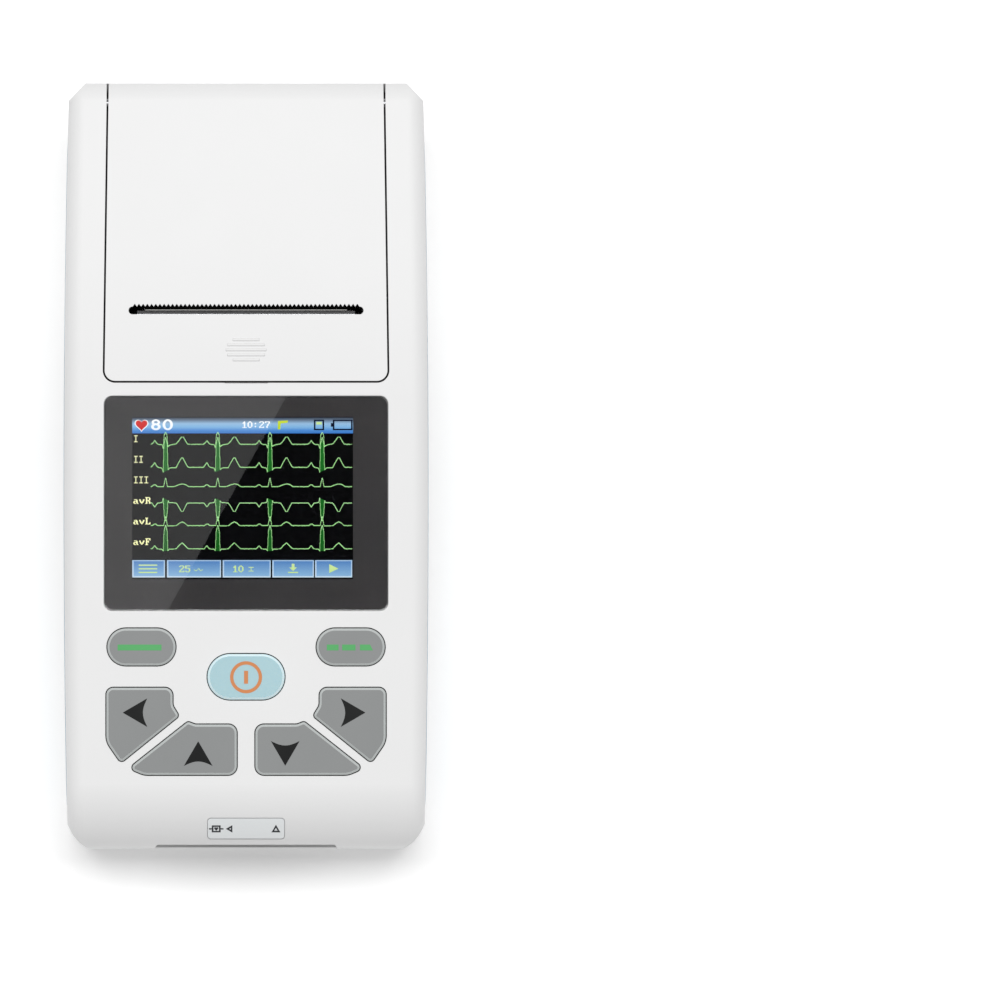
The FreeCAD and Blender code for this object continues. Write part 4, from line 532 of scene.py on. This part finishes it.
screen_blue = lit("screen_blue", srgb(54, 118, 204), srgb(86, 150, 220), srgb(136, 190, 236),
                  srgb(158, 198, 234), srgb(112, 132, 156), srgb(44, 46, 54))
screen_key = lit("screen_key", srgb(146, 192, 230), srgb(82, 132, 196))
screen_rim = lit("screen_rim", srgb(206, 228, 246), srgb(176, 208, 240))
screen_black = lit("screen_black", (0.0012, 0.0012, 0.0014, 1), (0.001, 0.001, 0.001, 1))
screen_green = lit("screen_green", srgb(170, 238, 152), srgb(182, 242, 168), strength=1.15)
screen_spike = lit("screen_spike", srgb(22, 96, 28), srgb(26, 112, 34))
screen_label = lit("screen_label", srgb(250, 250, 186), srgb(250, 250, 196), strength=1.2)
screen_mark = lit("screen_mark", srgb(206, 240, 150), srgb(216, 242, 168))
screen_white = lit("screen_white", srgb(236, 242, 250), srgb(252, 254, 255), strength=1.15)
screen_red = lit("screen_red", srgb(206, 16, 20), srgb(222, 52, 46))
screen_yellow = lit("screen_yellow", srgb(196, 226, 40), srgb(216, 232, 70))
screen_ink = lit("screen_ink", srgb(10, 16, 38), srgb(16, 24, 48))

# the picture is built in layers over the panel, each this thick, with a hair of air between them
LAYER, AIR = 0.03, 0.005
L0, L1, L2, L3, L4 = (LCD_TOP + LAYER * i for i in range(5))
OVERLAP = 0.4
slabs("screen_field", [rectangle(VIEW_X0 - OVERLAP, VIEW_Y0 - OVERLAP, VIEW_X1 + OVERLAP, VIEW_Y1 + OVERLAP)],
      L0 + AIR, L1, screen_black)
BAR_EDGE, BAR_LOW, BAR_HIGH = 102.95, 103.1, 107.1
slabs("status_bar", [rectangle(VIEW_X0, BAR_LOW, VIEW_X1, BAR_HIGH)], L1 + AIR, L2, screen_blue)
slabs("status_bar_edge", [rectangle(VIEW_X0, BAR_EDGE, VIEW_X1, BAR_LOW)], L1 + AIR, L2, screen_ink)

# soft keys: left and right edge of each
KEYS_LOW, KEYS_HIGH = 67.4, 71.7
SOFT_KEYS = [(-28.2, -20.1), (-19.6, -6.2), (-5.8, 6.1), (6.5, 16.8), (17.1, 26.3)]
key_boxes = [rectangle(left, KEYS_LOW, right, KEYS_HIGH) for left, right in SOFT_KEYS]
key_fields = [rectangle(left + 0.36, KEYS_LOW + 0.36, right - 0.28, KEYS_HIGH - 0.26)
              for left, right in SOFT_KEYS]
slabs("soft_keys", key_boxes, L1 + AIR, L2, screen_key)
ringed("soft_key_rims", list(zip(key_boxes, key_fields)), L2 + AIR, L3, screen_rim)

labels = []
for i, word in enumerate(("I", "II", "III", "avR", "avL", "avF")):
    labels += text(word, VIEW_X0 + 0.25, 100.95 - 5.1 * i)
slabs("lead_labels", labels, L1 + AIR, L2, screen_label)

# the two sides of a tall spike run so close together that the display fills it
SPIKE_HALF, TALL = 0.65, 4.0
spikes = []
for base, beat in LEADS:
    spike = [(x, y) for x, y in beat if abs(x) < SPIKE_HALF]
    if max(abs(y) for x, y in spike) > TALL:
        spikes += [[(centre + x, base + y) for x, y in spike] for centre in BEATS]
slabs("spike_fill", spikes, L1 + AIR, L1 + 0.02, screen_spike)
for number, (base, beat) in enumerate(LEADS):
    lift = 0.002 * number
    slabs(f"trace_{number + 1}", trace(base, beat), L2 + lift, L3 + lift, screen_green)


def heart(x, y, size):
    """Heart outline with its tip down."""
    points = []
    for i in range(40):
        t = 2 * math.pi * i / 40
        points.append((x + size * math.sin(t) ** 3,
                       y + size * (0.8125 * math.cos(t) - 0.3125 * math.cos(2 * t) - 0.125 * math.cos(3 * t)
                                   - 0.0625 * math.cos(4 * t))))
    return points


slabs("heart_rim", [heart(-25.9, 105.2, 1.72)], L2 + AIR, L3, screen_white)
slabs("heart_mark", [heart(-25.9, 105.25, 1.47)], L3 + AIR, L4, screen_red)
ringed("rate_digits", [
    (ellipse(-22.35, 105.85, 1.05, 0.72), ellipse(-22.35, 105.85, 0.45, 0.3)),
    (ellipse(-22.35, 104.75, 1.18, 0.85), ellipse(-22.35, 104.75, 0.5, 0.38)),
    (ellipse(-19.4, 105.25, 1.28, 1.35), ellipse(-19.4, 105.25, 0.62, 0.9)),
], L2 + AIR, L3, screen_white)
slabs("clock_digits", text("10:27", -1.1, 104.45, 0.18), L2 + AIR, L3, screen_white)
flag = [(7.85, 104.1), (8.5, 104.1), (8.6, 105.55), (10.3, 105.75), (10.4, 106.3), (7.9, 106.2)]
slabs("flag_mark", [flag], L2 + AIR, L3, screen_yellow)
ringed("card_mark", [(rectangle(16.8, 103.9, 19.35, 106.5), rectangle(17.2, 104.25, 18.95, 106.15))],
       L2 + AIR, L3, screen_ink)
slabs("card_light", [rectangle(17.4, 105.3, 18.75, 105.95)], L2 + AIR, L3, screen_mark)
ringed("battery_mark", [(rectangle(21.5, 103.9, 26.4, 106.5), rectangle(21.9, 104.25, 26.0, 106.15))],
       L2 + AIR, L3, screen_ink)
slabs("battery_nub", [rectangle(21.0, 104.75, 21.58, 105.65)], L2 + AIR, L3, screen_ink)

WAVE = "      #     /     # #    /#   #  #  ##/ ###    ## "
SPAN = "#######/   #   /   #   /   #   /   #   /#######"
down_arrow = [(11.3, 70.8), (11.3, 69.9), (10.7, 69.9), (11.65, 69.0),
              (12.6, 69.9), (12.0, 69.9), (12.0, 70.8)]
play_mark = [(20.6, 68.5), (22.9, 69.6), (20.6, 70.7)]
marks = [rectangle(-26.6, y, -22.0, y + 0.3) for y in (68.5, 69.4, 70.3)]
marks += text("25", -16.6, 68.7) + pixels(WAVE, -12.9, 69.0)
marks += text("10", -3.4, 68.7) + pixels(SPAN, 0.6, 68.9)
marks += [rectangle(10.4, 68.5, 12.9, 68.8), down_arrow, play_mark]
slabs("soft_key_marks", marks, L2 + AIR, L3, screen_mark)

# ---------------------------------------------------------------- key legends

KEY_TOP = 0.9
PRINT_LOW, PRINT_HIGH = KEY_TOP + 0.002, KEY_TOP + 0.03
print_black = moulded("print_black", srgb(12, 14, 14), 0.6, 0.0002, 0.000004, 0.05,
                      Specular_IOR_Level=0.2)
print_green = moulded("print_green", srgb(80, 164, 96), 0.5, 0.0002, 0.000004, 0.04,
                      Specular_IOR_Level=0.3)
print_orange = moulded("print_orange", srgb(200, 126, 74), 0.5, 0.0002, 0.000004, 0.04,
                       Specular_IOR_Level=0.3)


def curved_side(start, end, depth, count=10):
    """Points from start to end on a shallow curve that bows by depth to the left of the way."""
    (x0, y0), (x1, y1) = start, end
    length = math.hypot(x1 - x0, y1 - y0)
    nx, ny = -(y1 - y0) / length, (x1 - x0) / length
    points = []
    for i in range(count):
        t = i / count
        bow = depth * math.sin(math.pi * t)
        points.append((x0 + (x1 - x0) * t + nx * bow, y0 + (y1 - y0) * t + ny * bow))
    return points


def arrow(x, y, angle):
    """Arrowhead pointing along angle, with hollow sides and a hollow back."""
    tip, wing, back = (3.15, 0.0), (-2.95, 3.55), (-2.95, -3.55)
    outline = [tip] + curved_side(wing, back, 1.1) + [back]
    c, s = math.cos(angle), math.sin(angle)
    return [(x + c * u - s * v, y + s * u + c * v) for u, v in outline]


def legend(name, outlines, material, body):
    """Flat print on a key's top."""
    return slabs(name, outlines, PRINT_LOW, PRINT_HIGH, material, body)


legend("left_arrow_mark", [arrow(-27.4, 33.95, math.pi)], print_black, "left_arrow_key")
legend("right_arrow_mark", [arrow(26.4, 33.95, 0.0)], print_black, "right_arrow_key")
legend("up_arrow_mark", [arrow(-11.85, 23.7, math.pi / 2)], print_black, "up_arrow_key")
legend("down_arrow_mark", [arrow(9.7, 23.95, -math.pi / 2)], print_black, "down_arrow_key")
DASH_LOW, DASH_HIGH = 49.35, 50.8
dashes = [rectangle(x0, DASH_LOW, x1, DASH_HIGH) for x0, x1 in ((20.0, 22.9), (23.8, 27.1))]
cut_dash = [(28.2, DASH_LOW), (31.4, DASH_LOW), (30.7, DASH_HIGH), (28.2, DASH_HIGH)]
legend("left_oval_mark", [rectangle(-31.8, DASH_LOW, -20.95, DASH_HIGH)], print_green, "left_oval_key")
legend("right_oval_mark", [*dashes, cut_dash], print_green, "right_oval_key")
ringed("power_ring_mark", [(ellipse(0, 42.7, 3.97, 3.97), ellipse(0, 42.7, 3.14, 3.14))],
       PRINT_LOW, PRINT_HIGH, print_orange, "power_key")
legend("power_bar_mark", [rectangle(-0.5, 41.1, 0.5, 44.3)], print_orange, "power_key")

# ---------------------------------------------------------------- marks on curved faces


def draped(node, spot, way):
    """A place function that lays a flat drawing on a node's face.

    spot gives where the ray starts over the face, and way its direction.
    """
    mesh, matrix = nodes[node].data, nodes[node].matrix_world
    tree = BVHTree.FromPolygons([matrix @ vertex.co for vertex in mesh.vertices],
                                [polygon.vertices for polygon in mesh.polygons])

    def place(u, v, lift):
        hit, normal = tree.ray_cast(spot(u, v), way)[:2]
        return hit + normal * lift * MILLIMETRE

    return place


def ring(x, y, outer, inner):
    """A round frame."""
    return ellipse(x, y, outer, outer, 32), ellipse(x, y, inner, inner, 32)


def grown(outline, x, y, factor):
    """The outline scaled about a spot."""
    return [(x + (u - x) * factor, y + (v - y) * factor) for u, v in outline]


print_dark = moulded("print_dark", srgb(44, 46, 50), 0.5, 0.0002, 0.000002, 0.05, Specular_IOR_Level=0.3)

# flat marks sink into a curved face between their corners, so they are a little thick
on_label = draped("label_plate", lambda x, y: in_case(x, y, 20.0), -outward)
SUNK, LABEL_LIFT, TRIM_LIFT = 0.004, 0.05, 0.03
MARK_Y = 5.1
box_mark = rectangle(-8.5, MARK_Y - 0.85, -6.3, MARK_Y + 0.85)
left_triangle = [(-5.0, MARK_Y), (-3.4, MARK_Y - 0.9), (-3.4, MARK_Y + 0.9)]
warning = [(6.3, MARK_Y - 0.85), (8.5, MARK_Y - 0.85), (7.4, MARK_Y + 1.05)]
ringed("label_frames", [
    (box_mark, grown(box_mark, -7.4, MARK_Y, 0.62)),
    (left_triangle, grown(left_triangle, -3.9, MARK_Y, 0.3)),
    (warning, grown(warning, 7.4, MARK_Y - 0.22, 0.4)),
], SUNK, LABEL_LIFT, print_dark, place=on_label)
slabs("label_marks", [
    rectangle(-9.2, MARK_Y - 0.14, -8.52, MARK_Y + 0.14),
    rectangle(-6.28, MARK_Y - 0.14, -5.6, MARK_Y + 0.14),
    heart(-7.4, MARK_Y + 0.02, 0.5),
], SUNK, LABEL_LIFT, print_dark, place=on_label)

on_trim = draped("left_trim", lambda y, z: in_case(-70.0, y, z), Vector((1, 0, 0)))
JACK_Y, MARK_Z = 102.5, -29.9
ringed("polarity_rings", [ring(JACK_Y - 4.0, MARK_Z, 1.05, 0.85), ring(JACK_Y + 4.0, MARK_Z, 1.05, 0.85)],
       SUNK, TRIM_LIFT, print_dark, place=on_trim)
cup = ellipse(JACK_Y, MARK_Z, 1.15, 1.15, 20, math.radians(50), math.radians(260))
cup += ellipse(JACK_Y, MARK_Z, 0.93, 0.93, 20, math.radians(310), math.radians(-260))
slabs("polarity_marks", [
    cup, ellipse(JACK_Y, MARK_Z, 0.42, 0.42, 16),
    rectangle(JACK_Y - 2.95, MARK_Z - 0.1, JACK_Y - 1.15, MARK_Z + 0.1),
    rectangle(JACK_Y + 0.42, MARK_Z - 0.1, JACK_Y + 2.95, MARK_Z + 0.1),
    rectangle(JACK_Y - 4.55, MARK_Z - 0.1, JACK_Y - 3.45, MARK_Z + 0.1),
    rectangle(JACK_Y + 3.45, MARK_Z - 0.1, JACK_Y + 4.55, MARK_Z + 0.1),
    rectangle(JACK_Y + 3.9, MARK_Z + 0.11, JACK_Y + 4.1, MARK_Z + 0.55),
    rectangle(JACK_Y + 3.9, MARK_Z - 0.55, JACK_Y + 4.1, MARK_Z - 0.11),
], SUNK, TRIM_LIFT, print_dark, place=on_trim)

# ---------------------------------------------------------------- floor, light and camera


def emitter(name, corners, strength):
    """A flat card of light over the face, seen as a reflection in the window."""
    mesh = bpy.data.meshes.new(name)
    mesh.from_pydata([in_case(*corner) for corner in corners], [], [tuple(range(len(corners)))])
    card = bpy.data.objects.new(name, mesh)
    bpy.context.scene.collection.objects.link(card)
    material = bpy.data.materials.new(name)
    material.use_nodes = True
    shader = material.node_tree.nodes["Principled BSDF"]
    shader.inputs["Base Color"].default_value = (0.005, 0.005, 0.005, 1)
    shader.inputs["Roughness"].default_value = 1.0
    shader.inputs["Specular IOR Level"].default_value = 0.0
    shader.inputs["Emission Color"].default_value = (1, 1, 1, 1)
    shader.inputs["Emission Strength"].default_value = strength
    mesh.materials.append(material)
    return card


def floor():
    """A plain pale floor that glows a little, so that it stays white in the soft light."""
    mesh = bpy.data.meshes.new("floor")
    reach = 8.0
    mesh.from_pydata([(-reach, -reach, 0), (reach, -reach, 0), (reach, reach, 0), (-reach, reach, 0)], [],
                     [(0, 1, 2, 3)])
    ground = bpy.data.objects.new("floor", mesh)
    bpy.context.scene.collection.objects.link(ground)
    mesh.materials.append(moulded("floor_white", (0.9, 0.9, 0.9, 1.0), 0.8, 0.002, 0.0000001, 0.002,
                                  Emission_Color=(1, 1, 1, 1), Emission_Strength=0.19))


def softbox(name, place, aim, width, length, power):
    """A soft rectangular lamp, in metres and watts."""
    light = bpy.data.lights.new(name, "AREA")
    light.shape = "RECTANGLE"
    light.size = width
    light.size_y = length
    light.energy = power
    lamp = bpy.data.objects.new(name, light)
    bpy.context.scene.collection.objects.link(lamp)
    lamp.location = place
    lamp.rotation_mode = "QUATERNION"
    lamp.rotation_quaternion = (Vector(aim) - Vector(place)).to_track_quat("-Z", "Y")


floor()
softbox("overhead", (0.0, 0.32, 2.2), (0, 0, 0), 2.0, 1.0, 41.0)

# over the camera, a black flag keeps the window dark and a slanted card lights its left part
CAMERA_HEIGHT = 6000.0
CARD_HEIGHT = 6600.0
FLAG_HEIGHT = CARD_HEIGHT + 10
emitter("dark_flag", [(-260, -160, FLAG_HEIGHT), (-260, 340, FLAG_HEIGHT), (260, 340, FLAG_HEIGHT),
                      (260, -160, FLAG_HEIGHT)], 0.0)
emitter("window_card", [(34.0, 158.0, CARD_HEIGHT), (-150.0, 158.0, CARD_HEIGHT), (-150.0, 0.0, CARD_HEIGHT),
                        (-53.6, 0.0, CARD_HEIGHT)], 0.56)

world = bpy.data.worlds.new("studio")
world.use_nodes = True
background = world.node_tree.nodes["Background"]
background.inputs["Color"].default_value = (1, 1, 1, 1)
background.inputs["Strength"].default_value = 0.43
bpy.context.scene.world = world
bpy.context.scene.view_settings.view_transform = "Standard"

camera_data = bpy.data.cameras.new("camera")
camera = bpy.data.objects.new("camera", camera_data)
bpy.context.scene.collection.objects.link(camera)
bpy.context.scene.camera = camera
FRAME_WIDTH = 247.7
SENSOR = 36.0
camera_data.sensor_width = SENSOR
camera_data.lens = SENSOR * CAMERA_HEIGHT / FRAME_WIDTH
camera_data.clip_start, camera_data.clip_end = 0.1, 50.0
eye, target = in_case(0.0, 92.0, CAMERA_HEIGHT), in_case(62.9, 86.6, 0.0)
back = (eye - target).normalized()
right = along.cross(back).normalized()
camera.rotation_mode = "QUATERNION"
camera.rotation_quaternion = Matrix((right, back.cross(right), back)).transposed().to_quaternion()
camera.location = eye
